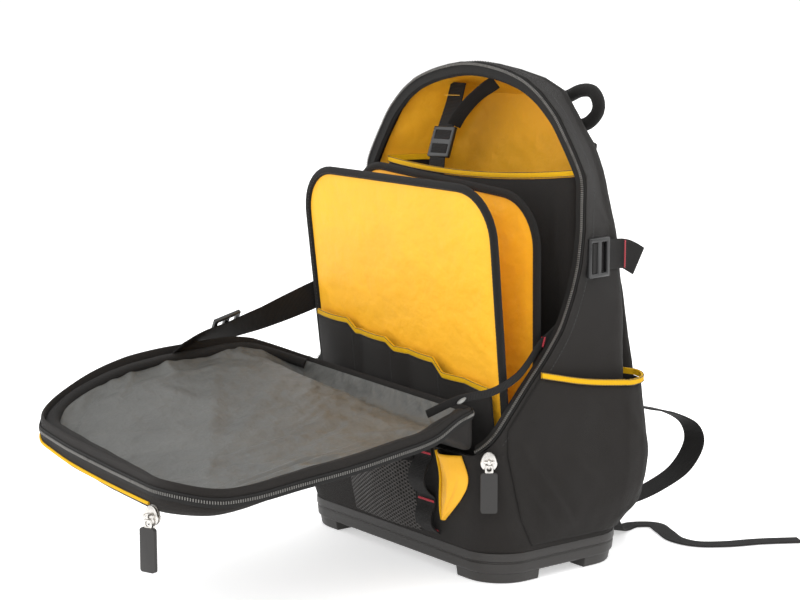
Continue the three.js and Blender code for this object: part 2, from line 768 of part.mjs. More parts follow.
// Zip slider and its pull. In their own frame the slider's back is at y = 0, it faces
// +y, and the bar of its bail lies along x.
const barReach = 8.4;
const barRadius = 1.2;
const barrelRadius = 2.7;
const barrelBore = 1.5;
const barHalf = 4.6;
const linkWidth = 6;
function rod(radius, length, sides = 12) {
  return new THREE.CylinderGeometry(radius, radius, length, sides).rotateZ(Math.PI / 2);
}
function makeSlider() {
  const body = solid(block(11, 4.6, 14, [0, 2.3, 0]));
  const neck = solid(block(8, 4.2, 10, [0, 2.1, -8]));
  let made = body.add(neck);
  for (const side of [-1, 1]) {
    const leg = block(1.6, barReach - 0.5, 4, [side * barHalf, (barReach - 0.5) / 2 + 1.2, 3]);
    made = made.add(solid(leg));
  }
  const bar = solid(rod(barRadius, 2 * barHalf + 1.2).translate(0, barReach, 3));
  return geometryOf(made.add(bar));
}
function makeLink() {
  const barrel = solid(rod(barrelRadius, linkWidth));
  const plate = solid(block(linkWidth, 2, linkLength, [0, 0, -linkLength / 2]));
  const grip = solid(block(linkWidth + 3, 2, 6, [0, 0, -linkLength + 3]));
  const bore = solid(rod(barrelBore, 3 * linkWidth));
  return geometryOf(barrel.add(plate).add(grip).subtract(bore));
}
function makeTab() {
  const loops = [];
  const outline = [[0, 0.78], [0.06, 0.94], [0.5, 1], [0.94, 0.9], [1, 0.74]];
  for (const [share, wide] of outline) {
    const w = (pullWidth * wide) / 2;
    const t = (pullThick / 2) * (share === 0 || share === 1 ? 0.72 : 1);
    const z = -linkLength + 7 - share * pullLength;
    loops.push([[-w, -t], [-w + 1, -t - 0.01], [w - 1, -t - 0.01], [w, -t], [w, t], [-w, t]]
      .map(([x, y]) => new THREE.Vector3(x, y, z)));
  }
  const slot = solid(block(linkWidth + 3 + 2 * gap, 2 + 2 * gap, 7 + 2 * gap, [0, 0, -linkLength + 3.5]));
  return geometryOf(solid(skin(loops)).subtract(slot));
}
function zipPull(name, at, facing, swing) {
  const frame = new THREE.Group();
  frame.position.set(...at);
  frame.rotation.z = THREE.MathUtils.degToRad(facing);
  put(`${name}_slider`, makeSlider(), "metal", frame);
  const hung = new THREE.Group();
  hung.position.set(0, barReach, 3);
  hung.rotation.x = THREE.MathUtils.degToRad(swing);
  put(`${name}_pull_link`, makeLink(), "metal", hung);
  put(`${name}_pull_tab`, makeTab(), "rubber", hung);
  frame.add(hung);
  pack.add(frame);
}

// The pieces, from the ground up.
put("base_tub", makeTub(), "tub");
put("body_shell", makeBody(), "cloth");
put("body_zip_tape", edgeTape(zipThick, zipLow + 9), "zip");

// Lining of the back panel, behind the rear pocket.
const liningFace = backReach - wall - gap;
put("back_lining", sheet((u, v) => {
  const z = baseHeight + 8 + (backTop - 24 - baseHeight - 8) * v;
  const w = along(backHalf, z) - along(backCorner, z) - 4;
  return new THREE.Vector3((u - 0.5) * 2 * w, liningFace, z);
}, 4, 8, cloth), "panel");

const rearPanelTop = rearTop - trimHeight - gap;
put("rear_pocket_panel", sheet((u, v) => rearPocket(u, v, rearPanelTop), 18, 5, cloth), "cloth");
put("rear_pocket_trim", sheet((u, v) => {
  const p = rearPocket(u, 1, rearTop - trimHeight + 0.9);
  return p.add(new THREE.Vector3(0, 0.7, trimHeight * v));
}, 18, 1, trimThick), "trim");

const dividerLow = footHeight + baseFloor + 0.9;
const onFront = makeDivider("front_divider", frontDividerWidth, frontDividerTop, dividerLow, 6, 0.028,
  -0.5622 * backReach);
const onRear = makeDivider("rear_divider", rearDividerWidth, rearDividerTop - 10, dividerLow, 1.5, 0.085,
  -0.1946 * backReach);

// Tool pockets on the front divider: one bowed panel with a stepped bound top.
// [share across, height as a share of the divider's]
const pocketSteps = [
  [0, 0.5873], [0.22, 0.5873], [0.26, 0.562], [0.46, 0.562], [0.5, 0.5418], [0.72, 0.5367], [0.76, 0.5013],
  [1, 0.4861],
];
function dividerPocket(u, v, high) {
  const x = (u - 0.5) * (frontDividerWidth - 2 * bindingWide - 8);
  const z = dividerLow + 12 + (along(pocketSteps, u) * frontDividerTop + high - dividerLow - 12) * v;
  const ripple = 5 * Math.abs(Math.sin(u * Math.PI * 3.5));
  const bow = (1.5 + ripple + 6 * Math.sin(Math.PI * u)) * Math.min(1, 0.25 + v);
  return new THREE.Vector3(x, -dividerThick / 2 - 0.8 - bow, z);
}
put("front_divider_pockets",
  onFront(sheet((u, v) => dividerPocket(u, v, 0), 28, 2, cloth)), "cloth");
put("front_divider_pocket_trim", onFront(sheet((u, v) => {
  const p = dividerPocket(u, 1, gap);
  return p.add(new THREE.Vector3(0, 0.7, trimHeight * v));
}, 28, 1, trimThick)), "trim");

// Webbing loops down the front of the rear divider, bowed off it between their stitches.
for (const [k, x] of [-0.6592 * half, 0.3464 * half].entries()) {
  const points = [];
  const high = rearDividerTop - bindingWide - 14;
  for (let i = 0; i <= 12; i++) {
    const z = high - i * 11;
    points.push([x, -dividerThick / 2 - 0.7 - (i % 3 === 0 ? 0 : 7), z - 5]);
  }
  put(`tool_loop_${k + 1}`, onRear(strap(points, () => left, 16, webThick, 24)), "web");
}

// Front wall: mesh pocket, hammer loops and a lined knife slot.
const frontFace = (z) => along(frontLine, z) - gap;
function onFrontWall(x0, x1, z0, z1, bulge) {
  return (u, v) => {
    const z = z0 + (z1 - z0) * v;
    const x = x0 + (x1 - x0) * u;
    const stand = 0.6 + bulge * Math.sin(Math.PI * u) * (0.25 + 0.75 * v);
    return new THREE.Vector3(x, frontFace(z) - stand, z);
  };
}
const meshPocket = onFrontWall(-0.324 * half, 0.3017 * half, 0.2748 * zipLow, 0.8855 * zipLow, 13);
put("front_mesh_pocket", sheet(meshPocket, 10, 4, cloth), "cloth");
const knifeSlot = onFrontWall(0.5363 * half, 0.7598 * half, 0.4427 * zipLow, 0.9847 * zipLow, 10);
put("knife_slot", sheet(knifeSlot, 6, 5, cloth), "trim");
// Hammer loops: [height as a share of the opening's low end, how far the web stands off].
const loopRows = [
  [0.9771, 1], [0.9084, 1], [0.8244, 9], [0.7328, 13], [0.6565, 9], [0.5954, 1], [0.5344, 1], [0.458, 8],
  [0.3817, 9], [0.3053, 1],
];
const loopPoints = loopRows.map(([share, stand]) => {
  const z = share * zipLow;
  return [0.4134 * half, frontFace(z) - stand, z];
});
put("hammer_loops", strap(loopPoints, () => left, 26, webThick, 30), "web");

// Side pockets, compression straps and their slides.
const pocket = sheet((u, v) => sidePocket(u, v, -trimHeight - gap), 15, 6, cloth);
const pocketTrim = sheet((u, v) => {
  const p = sidePocket(u, 1, -trimHeight + 0.1);
  return p.add(new THREE.Vector3(0, 0, trimHeight * v));
}, 15, 1, trimThick);
const strapHeight = 0.6245 * bodyTop;
const pull = (share) => {
  const y = share * backReach;
  return [halfAt(Math.min(y, 0.757 * backReach), strapHeight) + 5, y, strapHeight];
};
const lastPull = pull(0.757)[0];
const pressPath = [
  pull(0.2162), pull(0.4865), pull(0.6919),
  [lastPull - 3, 0.9514 * backReach, strapHeight - 2], [lastPull - 1, 1.1243 * backReach, strapHeight - 10],
];
const press = strap(pressPath, () => up, webWide, webThick, 14);
const slideAt = pull(0.3459);
slideAt[0] += webThick + gap;
const slide = placed(slideBuckle(webWide), slideAt, [0.2, -1, 0], [1, 0.2, 0]);
for (const [side, turn] of [["right", (g) => g], ["left", mirrored]]) {
  put(`side_pocket_${side}`, turn(pocket), "cloth");
  put(`side_pocket_trim_${side}`, turn(pocketTrim), "trim");
  put(`compression_strap_${side}`, turn(press), "web");
  put(`compression_slide_${side}`, turn(geometryOf(solid(slide))), "buckle");
}

// The flap, its lining, binding, zip and piping.
put("flap_shell", makeFlapShell(), "cloth");
put("flap_lining", makeFlapLining(), "lining");
put("flap_zip_tape", flapStrip(0, flapZip, 2.5 * gap, 2.5 * gap + 3), "zip");
put("flap_binding", flapStrip(flapZip + gap, flapZip + flapBinding, gap, gap + 3.6), "cloth");
put("flap_piping", makePiping(), "trim");

// Straps that stop the flap from falling further.
put("limit_strap_right", strap(spots([
  [0.9022, 0.2595, 0.5336], [0.8894, 0.0216, 0.5059], [0.8771, -0.1514, 0.4822],
  [0.8799, -0.3243, 0.4625], [0.9022, -0.5405, 0.4289], [0.9078, -0.7027, 0.4071],
  [0.8939, -0.9946, 0.3854], [0.838, -1.3514, 0.3755], [0.7821, -1.6865, 0.3518],
]), () => up, webNarrow, webThick, 26), "web");
put("limit_strap_left", strap(spots([
  [-0.9067, 0.173, 0.5632], [-0.8855, -0.0649, 0.5455], [-0.8827, -0.3243, 0.5296],
  [-0.9022, -0.6486, 0.5079], [-0.9106, -1.027, 0.4862], [-0.9385, -1.5135, 0.4585],
  [-0.9553, -1.9784, 0.4348], [-0.9497, -2.4649, 0.4308], [-0.9274, -2.8324, 0.4259],
]), (s) => new THREE.Vector3(1.4 * Math.max(s - 0.5, 0) ** 1.5, 0, 1), webWide, webThick, 26), "web");
const limitSlideAt = spots([[-0.962, -2.0541, 0.4613]])[0];
put("limit_slide_left", placed(slideBuckle(webWide), limitSlideAt, [0, -1, -0.25], [-0.7, 0, 0.7]), "buckle");

// Straps from the roof that close the rear pocket.
const closureWide = 26;
const tieWide = 20;
const [closureX, closureY] = [-0.324 * half, 0.4541 * backReach];
put("closure_strap", strap([
  [closureX, closureY, underRoof(closureX - closureWide / 2, closureY) - 2 * gap],
  ...spots([
    [-0.3296, 0.3892, 0.913], [-0.3352, 0.2811, 0.8617], [-0.3436, 0.1903, 0.8103],
    [-0.3464, 0.1697, 0.7866], [-0.3492, 0.1719, 0.751],
  ]),
], () => right, closureWide, webThick, 16), "web");
const closureSlideAt = spots([[-0.3408, 0.2227, 0.832]])[0];
const closureSlide = placed(slideBuckle(closureWide), closureSlideAt, [0, -0.33, -1], [0, -1, 0.33]);
put("closure_slide", closureSlide, "buckle");
const [tieX, tieY] = [0.0335 * half, 0.4324 * backReach];
const tieDrop = 2.5; // its slanted end stays under the roof
put("tie_strap", strap([
  [tieX, tieY, underRoof(tieX + tieWide / 2, tieY + 4) - tieDrop],
  ...spots([
    [-0.0223, 0.3568, 0.9407], [-0.1006, 0.2811, 0.9091], [-0.1564, 0.227, 0.8814],
  ]),
], () => new THREE.Vector3(0.8, 0, 0.6), tieWide, webThick, 12), "web");

// Back: padded panel, shoulder straps, haul handle and the tail on the ground.
// Back pad: [height as a share of the crown's, half width as a share of the body's].
const padRows = [
  [0.1186, 0.7263], [0.2372, 0.7374], [0.3953, 0.7263], [0.5534, 0.6816], [0.6917, 0.6034], [0.7905, 0.5251],
  [0.8379, 0.4469],
];
const padThick = 7;
put("back_pad", skin([[0, 0], [padThick - 1.5, 0], [padThick, 6]].map(([deep, full]) => {
  const loop = [];
  const rows = padRows.map(([z, w]) => [z * bodyTop, w * half]);
  const y = backReach + gap + deep;
  for (const [z, w] of rows) loop.push(new THREE.Vector3(w - full, y, z));
  for (const [z, w] of rows.slice().reverse()) loop.push(new THREE.Vector3(-w + full, y, z));
  return loop;
})), "cloth");
const padFace = backReach + 2 * gap + padThick;
const padShares = (rows) => spots(rows).map(([x, y, z]) => [x, y + padFace, z]);
// Shoulder straps and the webs below them: reaches count from the back pad's face.
const shoulder = strap(padShares([
  [0.2905, 0.0324, 0.834], [0.2961, 0.0519, 0.8063], [0.3184, 0.1395, 0.7589], [0.3631, 0.2368, 0.6719],
  [0.4134, 0.3124, 0.5534], [0.4581, 0.3665, 0.4348], [0.5028, 0.4097, 0.3083],
]), () => new THREE.Vector3(1, 0.15, -0.2), (s) => strapPad - 14 * s, strapPadThick, 18, softSection);
const shoulderWeb = strap(padShares([
  [0.5056, 0.4205, 0.3014], [0.5475, 0.6476, 0.2767], [0.6257, 1.0368, 0.2589], [0.676, 1.307, 0.2292],
  [0.6872, 1.3719, 0.1937], [0.6788, 1.1881, 0.1423], [0.6592, 0.7557, 0.1067], [0.648, 0.3232, 0.0909],
  [0.6257, -0.0659, 0.087],
]), () => right, webWide, webThick, 22);
for (const [side, turn] of [["right", (g) => g], ["left", mirrored]]) {
  put(`shoulder_pad_${side}`, turn(shoulder), "cloth");
  put(`shoulder_web_${side}`, turn(shoulderWeb), "web");
}
// The free end of a web hangs to the ground and lies there.
const tailDrop = [
  [0.6257, 1.0216, 0.0783], [0.6145, 1.1676, 0.0711], [0.5754, 1.3405, 0.0395],
  [0.514, 1.5351, 0.0099],
];
const tailOnGround = [
  [0.4581, 1.7297], [0.4358, 1.9676], [0.514, 2.1622], [0.6592, 2.0541], [0.8268, 1.9135],
  [0.9609, 1.9568], [1.067, 2.2054], [1.1564, 2.6162], [1.2793, 3.027],
];
put("web_tail", strap([
  ...spots(tailDrop), ...tailOnGround.map(([x, y]) => [x * half, y * backReach, gap]),
], (s, forward) => new THREE.Vector3().crossVectors(forward, up), 20, webThick, 34), "web");
const handleThick = 12;
const handleFace = backReach + gap + handleThick / 2;
const handleHalf = spots([
  [0.3352, 0, 0.8735], [0.4581, 0, 0.8893], [0.514, 0.0184, 0.913],
  [0.4693, 0.0562, 0.9308], [0.3687, 0.0995, 0.9289], [0.2235, 0.1319, 0.913],
  [0, 0.1535, 0.9012],
]).map(([x, y, z]) => [x, y + handleFace, z]);
const handlePath = [...handleHalf, ...handleHalf.slice(0, -1).reverse().map(([x, y, z]) => [-x, y, z])];
const handleSide = new THREE.Vector3(0, 1, 0);
put("haul_handle", strap(handlePath, () => handleSide, handleThick, handleThick, 30, softSection), "web");

// The open main zip's slider sits on the body's front corner, the flap zip's on the rim's outer wall.
const mainPullHeight = zipLow - 5;
const mainPullAt = [
  along(frontHalf, mainPullHeight) - 4.33, along(frontLine, mainPullHeight) + 7.33, mainPullHeight,
];
zipPull("main_zip", mainPullAt, -127, 0);
const flapPullX = 0.3533 * flapWidth;
zipPull("flap_zip", [flapPullX, flapFar + 1.45, rimHeight(flapPullX, flapFar) - 28.44], -160, 0);

pack.position.z = -footHeight;

export default pack;
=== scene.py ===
"""Looks of the tool backpack: cloth, webbing, zips, moulded base and studio."""
import logging
import math
from dataclasses import dataclass, field
from enum import Enum
from typing import Callable, Sequence

import bmesh
import bpy
import numpy as np
from mathutils import Matrix, Vector, noise


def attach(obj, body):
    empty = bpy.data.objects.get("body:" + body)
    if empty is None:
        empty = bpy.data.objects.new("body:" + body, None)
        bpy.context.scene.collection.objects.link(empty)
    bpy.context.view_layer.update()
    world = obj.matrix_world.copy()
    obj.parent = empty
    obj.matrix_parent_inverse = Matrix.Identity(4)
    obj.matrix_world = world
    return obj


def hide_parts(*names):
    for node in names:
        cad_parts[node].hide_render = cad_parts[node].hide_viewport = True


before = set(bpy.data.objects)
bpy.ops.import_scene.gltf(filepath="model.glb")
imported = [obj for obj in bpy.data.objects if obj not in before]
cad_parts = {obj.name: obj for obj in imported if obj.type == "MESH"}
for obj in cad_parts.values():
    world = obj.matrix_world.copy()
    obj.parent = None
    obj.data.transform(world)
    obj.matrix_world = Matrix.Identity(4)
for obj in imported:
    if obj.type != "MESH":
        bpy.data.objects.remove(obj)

LOG = logging.getLogger("backpack")
Points = np.ndarray
MM = 0.001
BODY = "pack"
Piece = bpy.types.Object


@dataclass(frozen=True)
class Sizes:
    """Sizes that several sub-assemblies share, in millimetres over the floor."""

    foot: float = 10.0
    base_width: float = 330.0
    base_depth: float = 185.0
    base_height: float = 31.4
    base_corner: float = 45.0
    body_half: float = 179.0
    body_top: float = 506.0
    back_top: float = 478.0
    back_reach: float = 92.5
    zip_low: float = 131.0
    front_reach: float = 106.0
    opening_plane: float = 10.0
    wall: float = 4.0
    flap_reach: float = 331.0
    flap_width: float = 334.0
    flap_corner: float = 52.0
    flap_depth: float = 15.0


S = Sizes()


class Hold(Enum):
    """How a sheet of cloth is held."""

    SEWN = "stretched"
    HUNG = "hung"
    LAID = "laid"
    GATHERED = "gathered"


def row(values: Sequence[float]) -> Points:
    """One row of numbers as an array."""
    return np.asarray(values, float)


def ease(table: Sequence[Sequence[float]], x: Points | float) -> Points:
    """Reads a table of [place, value] rows with a smooth curve through them.

    Args:
        table: Rows of place and value, with rising places.
        x: Where to read it.

    Returns:
        The values there.
    """
    places, values = row([r[0] for r in table]), row([r[1] for r in table])
    slope = np.gradient(values, places)
    x = np.clip(x, places[0], places[-1])
    k = np.clip(np.searchsorted(places, x, side="right") - 1, 0, len(places) - 2)
    width = places[k + 1] - places[k]
    t = (x - places[k]) / width
    return (
        (1 + 2 * t) * (1 - t) ** 2 * values[k]
        + t * (1 - t) ** 2 * width * slope[k]
        + t * t * (3 - 2 * t) * values[k + 1]
        + t * t * (t - 1) * width * slope[k + 1]
    )


def unit(v: Points) -> Points:
    """The same directions with length one."""
    return v / np.maximum(np.linalg.norm(v, axis=-1, keepdims=True), 1e-9)


def spaced(points: Points, count: int) -> Points:
    """The line through some points, cut into equal lengths.

    Args:
        points: The line's points.
        count: How many points to return.

    Returns:
        That many points along the line.
    """
    points = row(points)
    reach = np.concatenate([[0], np.cumsum(np.linalg.norm(np.diff(points, axis=0), axis=1))])
    at = np.linspace(0, reach[-1], count)
    return np.stack([np.interp(at, reach, points[:, k]) for k in range(points.shape[1])], axis=1)


def curve(points: Sequence[Sequence[float]], count: int) -> Points:
    """A smooth line through route points, cut into equal lengths.

    Args:
        points: The route, in millimetres.
        count: How many points to return.

    Returns:
        Points along a centripetal curve through the route.
    """
    route = row(points)
    ends = [2 * route[0] - route[1], *route, 2 * route[-1] - route[-2]]
    out = []
    for p0, p1, p2, p3 in zip(ends, ends[1:], ends[2:], ends[3:]):
        t1 = np.linalg.norm(p1 - p0) ** 0.5 + 1e-6
        t2 = t1 + np.linalg.norm(p2 - p1) ** 0.5 + 1e-6
        t3 = t2 + np.linalg.norm(p3 - p2) ** 0.5 + 1e-6
        t = np.linspace(t1, t2, 24)[:, None]
        a1 = (t1 - t) / t1 * p0 + t / t1 * p1
        a2 = (t2 - t) / (t2 - t1) * p1 + (t - t1) / (t2 - t1) * p2
        a3 = (t3 - t) / (t3 - t2) * p2 + (t - t2) / (t3 - t2) * p3
        b1 = (t2 - t) / t2 * a1 + t / t2 * a2
        b2 = (t3 - t) / (t3 - t1) * a2 + (t - t1) / (t3 - t1) * a3
        out.append((t2 - t) / (t2 - t1) * b1 + (t - t1) / (t2 - t1) * b2)
    return spaced(np.concatenate(out), count)


def tangents(points: Points) -> Points:
    """Unit directions along a line."""
    return unit(np.gradient(points, axis=0))


def normals(rows: Points) -> Points:
    """Unit normals of a lattice of points, across x along."""
    return unit(np.cross(np.gradient(rows, axis=1), np.gradient(rows, axis=0)))


def cloud(points: Points, size: float, seed: float = 0.0) -> Points:
    """Smooth noise from -1 to 1 at each point of an array.

    Args:
        points: Places, in millimetres, in an array whose last axis is x, y, z.
        size: Size of its lumps.
        seed: Moves the pattern.

    Returns:
        An array of one value for each place.
    """
    flat = points.reshape(-1, 3) / size + seed
    return row([noise.noise(Vector(p)) for p in flat]).reshape(points.shape[:-1])


def crease(u: Points, v: Points, start: tuple, end: tuple, wide: float, deep: float) -> Points:
    """Height of one fold that runs from start to end over a sheet's shares.

    Args:
        u: Shares across the sheet.
        v: Shares along it.
        start: Where the fold begins.
        end: Where it runs out.
        wide: Its width as a share.
        deep: Its height, in millimetres, or a negative depth.

    Returns:
        The height at each place.
    """
    a, b = row(start), row(end)
    run = b - a
    t = np.clip(((u - a[0]) * run[0] + (v - a[1]) * run[1]) / run.dot(run), 0, 1)
    away = np.hypot(u - a[0] - t * run[0], v - a[1] - t * run[1])
    return deep * np.exp(-((away / wide) ** 2)) * np.sin(math.pi * np.clip(t, 0.12, 0.88)) ** 0.5


def shares(across: int, high: int) -> tuple[Points, Points]:
    """Grids of the shares across and along a sheet."""
    return np.meshgrid(np.linspace(0, 1, across), np.linspace(0, 1, high))


def clear_selection() -> None:
    """Deselects every object, so that the next operator acts only on its own."""
    bpy.ops.object.select_all(action="DESELECT")


def settle() -> None:
    """Applies the selected object's place, turn and scale to its mesh."""
    bpy.ops.object.transform_apply(location=True, rotation=True, scale=True)


def extrude(y: float, z: float) -> None:
    """Extrudes the selected faces by a step in millimetres."""
    bpy.ops.mesh.extrude_region_move(TRANSFORM_OT_translate={"value": (0, y * MM, z * MM)})


def points_of(obj: Piece) -> Points:
    """An object's points, in metres."""
    return row([v.co for v in obj.data.vertices])


def alone(obj: Piece) -> None:
    """Selects one object and makes it active, with nothing else selected."""
    clear_selection()
    obj.select_set(True)
    bpy.context.view_layer.objects.active = obj


def applied(obj: Piece, kind: str, **settings: object) -> Piece:
    """Adds one modifier to an object and applies it.

    Args:
        obj: The object.
        kind: The modifier's type.
        settings: Its settings.

    Returns:
        The same object.
    """
    alone(obj)
    modifier = obj.modifiers.new(kind.title(), kind)
    for name, value in settings.items():
        setattr(modifier, name, value)
    bpy.ops.object.modifier_apply(modifier=modifier.name)
    return obj


def joined(parts: Sequence[Piece]) -> Piece:
    """Joins parts to the first one."""
    clear_selection()
    for part in parts:
        part.select_set(True)
    bpy.context.view_layer.objects.active = parts[0]
    bpy.ops.object.join()
    return parts[0]


def rounded(obj: Piece, width: float, angle: float = 30.0, segments: int = 2) -> Piece:
    """Rounds the edges that are sharper than an angle, by a width in millimetres."""
    return applied(obj, "BEVEL", width=width * MM, segments=segments, limit_method="ANGLE",
                   angle_limit=math.radians(angle))


def carved(obj: Piece, cutter: Piece) -> Piece:
    """Cuts one object out of another and removes the cutter."""
    applied(obj, "BOOLEAN", object=cutter, operation="DIFFERENCE", solver="EXACT")
    bpy.data.objects.remove(cutter)
    return obj


def smooth(obj: Piece, degrees: float = 35.0) -> Piece:
    """Shades an object smooth up to an angle."""
    alone(obj)
    bpy.ops.object.shade_smooth_by_angle(angle=math.radians(degrees))
    return obj


def mesh_of(name: str, points: Points, faces: Sequence[Sequence[int]], uv: Points | None = None) -> Piece:
    """Makes an object from points in millimetres over the floor.

    Args:
        name: The piece's name.
        points: Its points.
        faces: Its faces, as point numbers.
        uv: Cloth coordinates in metres, one for each face corner.

    Returns:
        The object, its place in its mesh.
    """
    mesh = bpy.data.meshes.new(name)
    mesh.from_pydata(((row(points) - (0, 0, S.foot)) * MM).tolist(), [], [list(f) for f in faces])
    if uv is not None:
        layer = mesh.uv_layers.new(name="cloth")
        layer.data.foreach_set("uv", row(uv).ravel())
    obj = bpy.data.objects.new(name, mesh)
    bpy.context.scene.collection.objects.link(obj)
    return obj


def lattice(name: str, rows: Points, ring: bool = False, capped: bool = False) -> Piece:
    """Cloth through rows of points, with cloth coordinates measured along them.

    Args:
        name: The piece's name.
        rows: Points as an array of rows, columns and x, y, z.
        ring: Whether each row closes on itself.
        capped: Whether the first and last rows are closed.

    Returns:
        The object.
    """
    high, across = rows.shape[:2]
    wrap = np.concatenate([rows, rows[:, :1]], axis=1) if ring else rows
    step_u = np.linalg.norm(np.diff(wrap, axis=1), axis=2)
    step_v = np.linalg.norm(np.diff(wrap, axis=0), axis=2)
    run_u = np.concatenate([np.zeros((high, 1)), np.cumsum(step_u, axis=1)], axis=1)
    run_u -= run_u[:, -1:] / 2
    run_v = np.concatenate([[0], np.cumsum(step_v.mean(axis=1))])
    faces, uv = [], []
    for j in range(high - 1):
        for i in range(across if ring else across - 1):
            n = (i + 1) % across
            faces.append((j * across + i, j * across + n, (j + 1) * across + n, (j + 1) * across + i))
            for jj, ii in ((j, i), (j, i + 1), (j + 1, i + 1), (j + 1, i)):
                uv.append((run_u[jj, ii] * MM, run_v[jj] * MM))
    if capped:
        for j, order in ((0, range(across - 1, -1, -1)), (high - 1, range(across))):
            faces.append([j * across + i for i in order])
            uv.extend((run_u[j, i] * MM, run_v[j] * MM) for i in order)
    return smooth(mesh_of(name, rows.reshape(-1, 3), faces, row(uv)))


def cloth(name: str, rows: Points, thick: float, round_edge: bool = True) -> Piece:
    """A sheet with a thickness on the side that its lattice normals point to.

    Args:
        name: The piece's name.
        rows: Its face, as rows of points.
        thick: Thickness, in millimetres.
        round_edge: Whether its edges are softened.

    Returns:
        The object.
    """
    n = normals(rows)
    high, across = rows.shape[:2]
    back = rows + n * thick
    middle = rows + n * thick * 0.5
    if round_edge:
        for lines in (middle, middle.swapaxes(0, 1)):
            for end, beside in ((0, 1), (-1, -2)):
                lines[end] += unit(lines[end] - lines[beside]) * 0.35 * thick
    points = np.concatenate([rows.reshape(-1, 3), back.reshape(-1, 3)])
    count = high * across
    faces, uv = [], []
    step_u = np.linalg.norm(np.diff(rows, axis=1), axis=2).mean(axis=0)
    step_v = np.linalg.norm(np.diff(rows, axis=0), axis=2).mean(axis=1)
    run_u = np.concatenate([[0], np.cumsum(step_u)]) * MM
    run_v = np.concatenate([[0], np.cumsum(step_v)]) * MM
    for j in range(high - 1):
        for i in range(across - 1):
            a = j * across + i
            quad = ((a, i, j), (a + 1, i + 1, j), (a + across + 1, i + 1, j + 1), (a + across, i, j + 1))
            for shift, order in ((0, quad[::-1]), (count, quad)):
                faces.append([q[0] + shift for q in order])
                uv.extend((run_u[q[1]], run_v[q[2]]) for q in order)
    edge = [(0, i) for i in range(across - 1)] + [(j, across - 1) for j in range(high - 1)]
    edge += [(high - 1, i) for i in range(across - 1, 0, -1)] + [(j, 0) for j in range(high - 1, 0, -1)]
    points = np.concatenate([points, row([middle[j, i] for j, i in edge])])
    for k, (j, i) in enumerate(edge):
        after = (k + 1) % len(edge)
        jn, in_ = edge[after]
        a, b = j * across + i, jn * across + in_
        m, n_ = 2 * count + k, 2 * count + after
        for quad in ((a, b, n_, m), (m, n_, b + count, a + count)):
            faces.append(quad)
            uv.extend([(run_u[i], run_v[j]), (run_u[in_], run_v[jn])] * 2)
    return smooth(mesh_of(name, points, faces, row(uv)), 60)


FLAT = row([(-0.5, 0.5), (-0.485, 0.12), (-0.45, 0), (-0.2, 0), (0.2, 0), (0.45, 0), (0.485, 0.12),
    (0.5, 0.5),
            (0.485, 0.88), (0.45, 1), (0.2, 1), (-0.2, 1), (-0.45, 1), (-0.485, 0.88)])


def oval(count: int = 12) -> Points:
    """An oval section whose first axis is its width and second its height."""
    turn = np.linspace(0, 2 * math.pi, count, endpoint=False)
    return np.stack([0.5 * np.cos(turn), 0.5 + 0.5 * np.sin(turn)], axis=1)


def band(name: str, line: Points, side: Points, wide: Points | float, thick: float,
         section: Points = FLAT, ripple: float = 0.0) -> Piece:
    """A strap, tape or roll along a line.

    Args:
        name: The piece's name.
        line: Points of its face's middle.
        side: The way its width runs, one direction or one for each point.
        wide: Its width, one number or one for each point.
        thick: Its thickness, along side x forward.
        section: Outline as shares of width and thickness.
        ripple: Height of its slight waves, in millimetres.

    Returns:
        The object.
    """
    forward = tangents(line)
    side = np.broadcast_to(row(side), line.shape).copy()
    side = unit(side - forward * (side * forward).sum(axis=1, keepdims=True))
    rise = np.cross(side, forward)
    wave = cloud(line, 26.0, len(name)) * ripple
    wide = np.broadcast_to(row(wide), (len(line),))
    rows = (line[:, None] + side[:, None] * (section[None, :, :1] * wide[:, None, None])
            + rise[:, None] * (section[None, :, 1:] * thick + wave[:, None, None]))
    return lattice(name, rows, ring=True, capped=True)


def copied(template: Piece, name: str, places: Points, x: Points, y: Points, z: Points) -> Piece:
    """Copies one small shape to many places as a single piece, and removes it.

    Args:
        template: The shape, round the origin, in metres.
        name: The new piece's name.
        places: Where the copies go, in millimetres over the floor.
        x: The way each copy's x axis runs.
        y: The same for its y axis.
        z: The same for its z axis.

    Returns:
        The piece that holds all copies.
    """
    small = points_of(template) / MM
    turn = np.stack([np.broadcast_to(unit(row(a)), places.shape) for a in (x, y, z)], axis=1)
    points = places[:, None] + np.einsum("va,nab->nvb", small, turn)
    faces = [[v + k * len(small) for v in p.vertices] for k in range(len(places))
        for p in template.data.polygons]
    bpy.data.objects.remove(template)
    return smooth(mesh_of(name, points.reshape(-1, 3), faces), 50)


def stitch_shape(long: float, wide: float) -> Piece:
    """One raised stitch, rounded at both ends."""
    clear_selection()
    bpy.ops.mesh.primitive_uv_sphere_add(segments=6, ring_count=4, radius=0.5 * MM,
        rotation=(0, math.pi / 2, 0))
    obj = bpy.context.object
    obj.scale = (wide, wide, long)
    settle()
    return obj


def stitches(name: str, line: Points, up: Points, every: float = 3.6, long: float = 2.5,
             wide: float = 0.75) -> Piece:
    """A row of stitches along a line.

    Args:
        name: The piece's name.
        line: The seam's points.
        up: The surface's normal, one or one for each point.
        every: Spacing, in millimetres.
        long: Length of a stitch.
        wide: Its width.

    Returns:
        The piece that holds them all.
    """
    up = np.broadcast_to(row(up), line.shape)
    length = np.linalg.norm(np.diff(line, axis=0), axis=1).sum()
    count = max(int(length / every), 2)
    both = spaced(np.concatenate([line, up * 8], axis=1), count)
    places, rise = both[:, :3], unit(both[:, 3:])
    along = tangents(places)
    across = unit(np.cross(rise, along))
    return copied(stitch_shape(long, wide), name, places, along, across, np.cross(along, across))


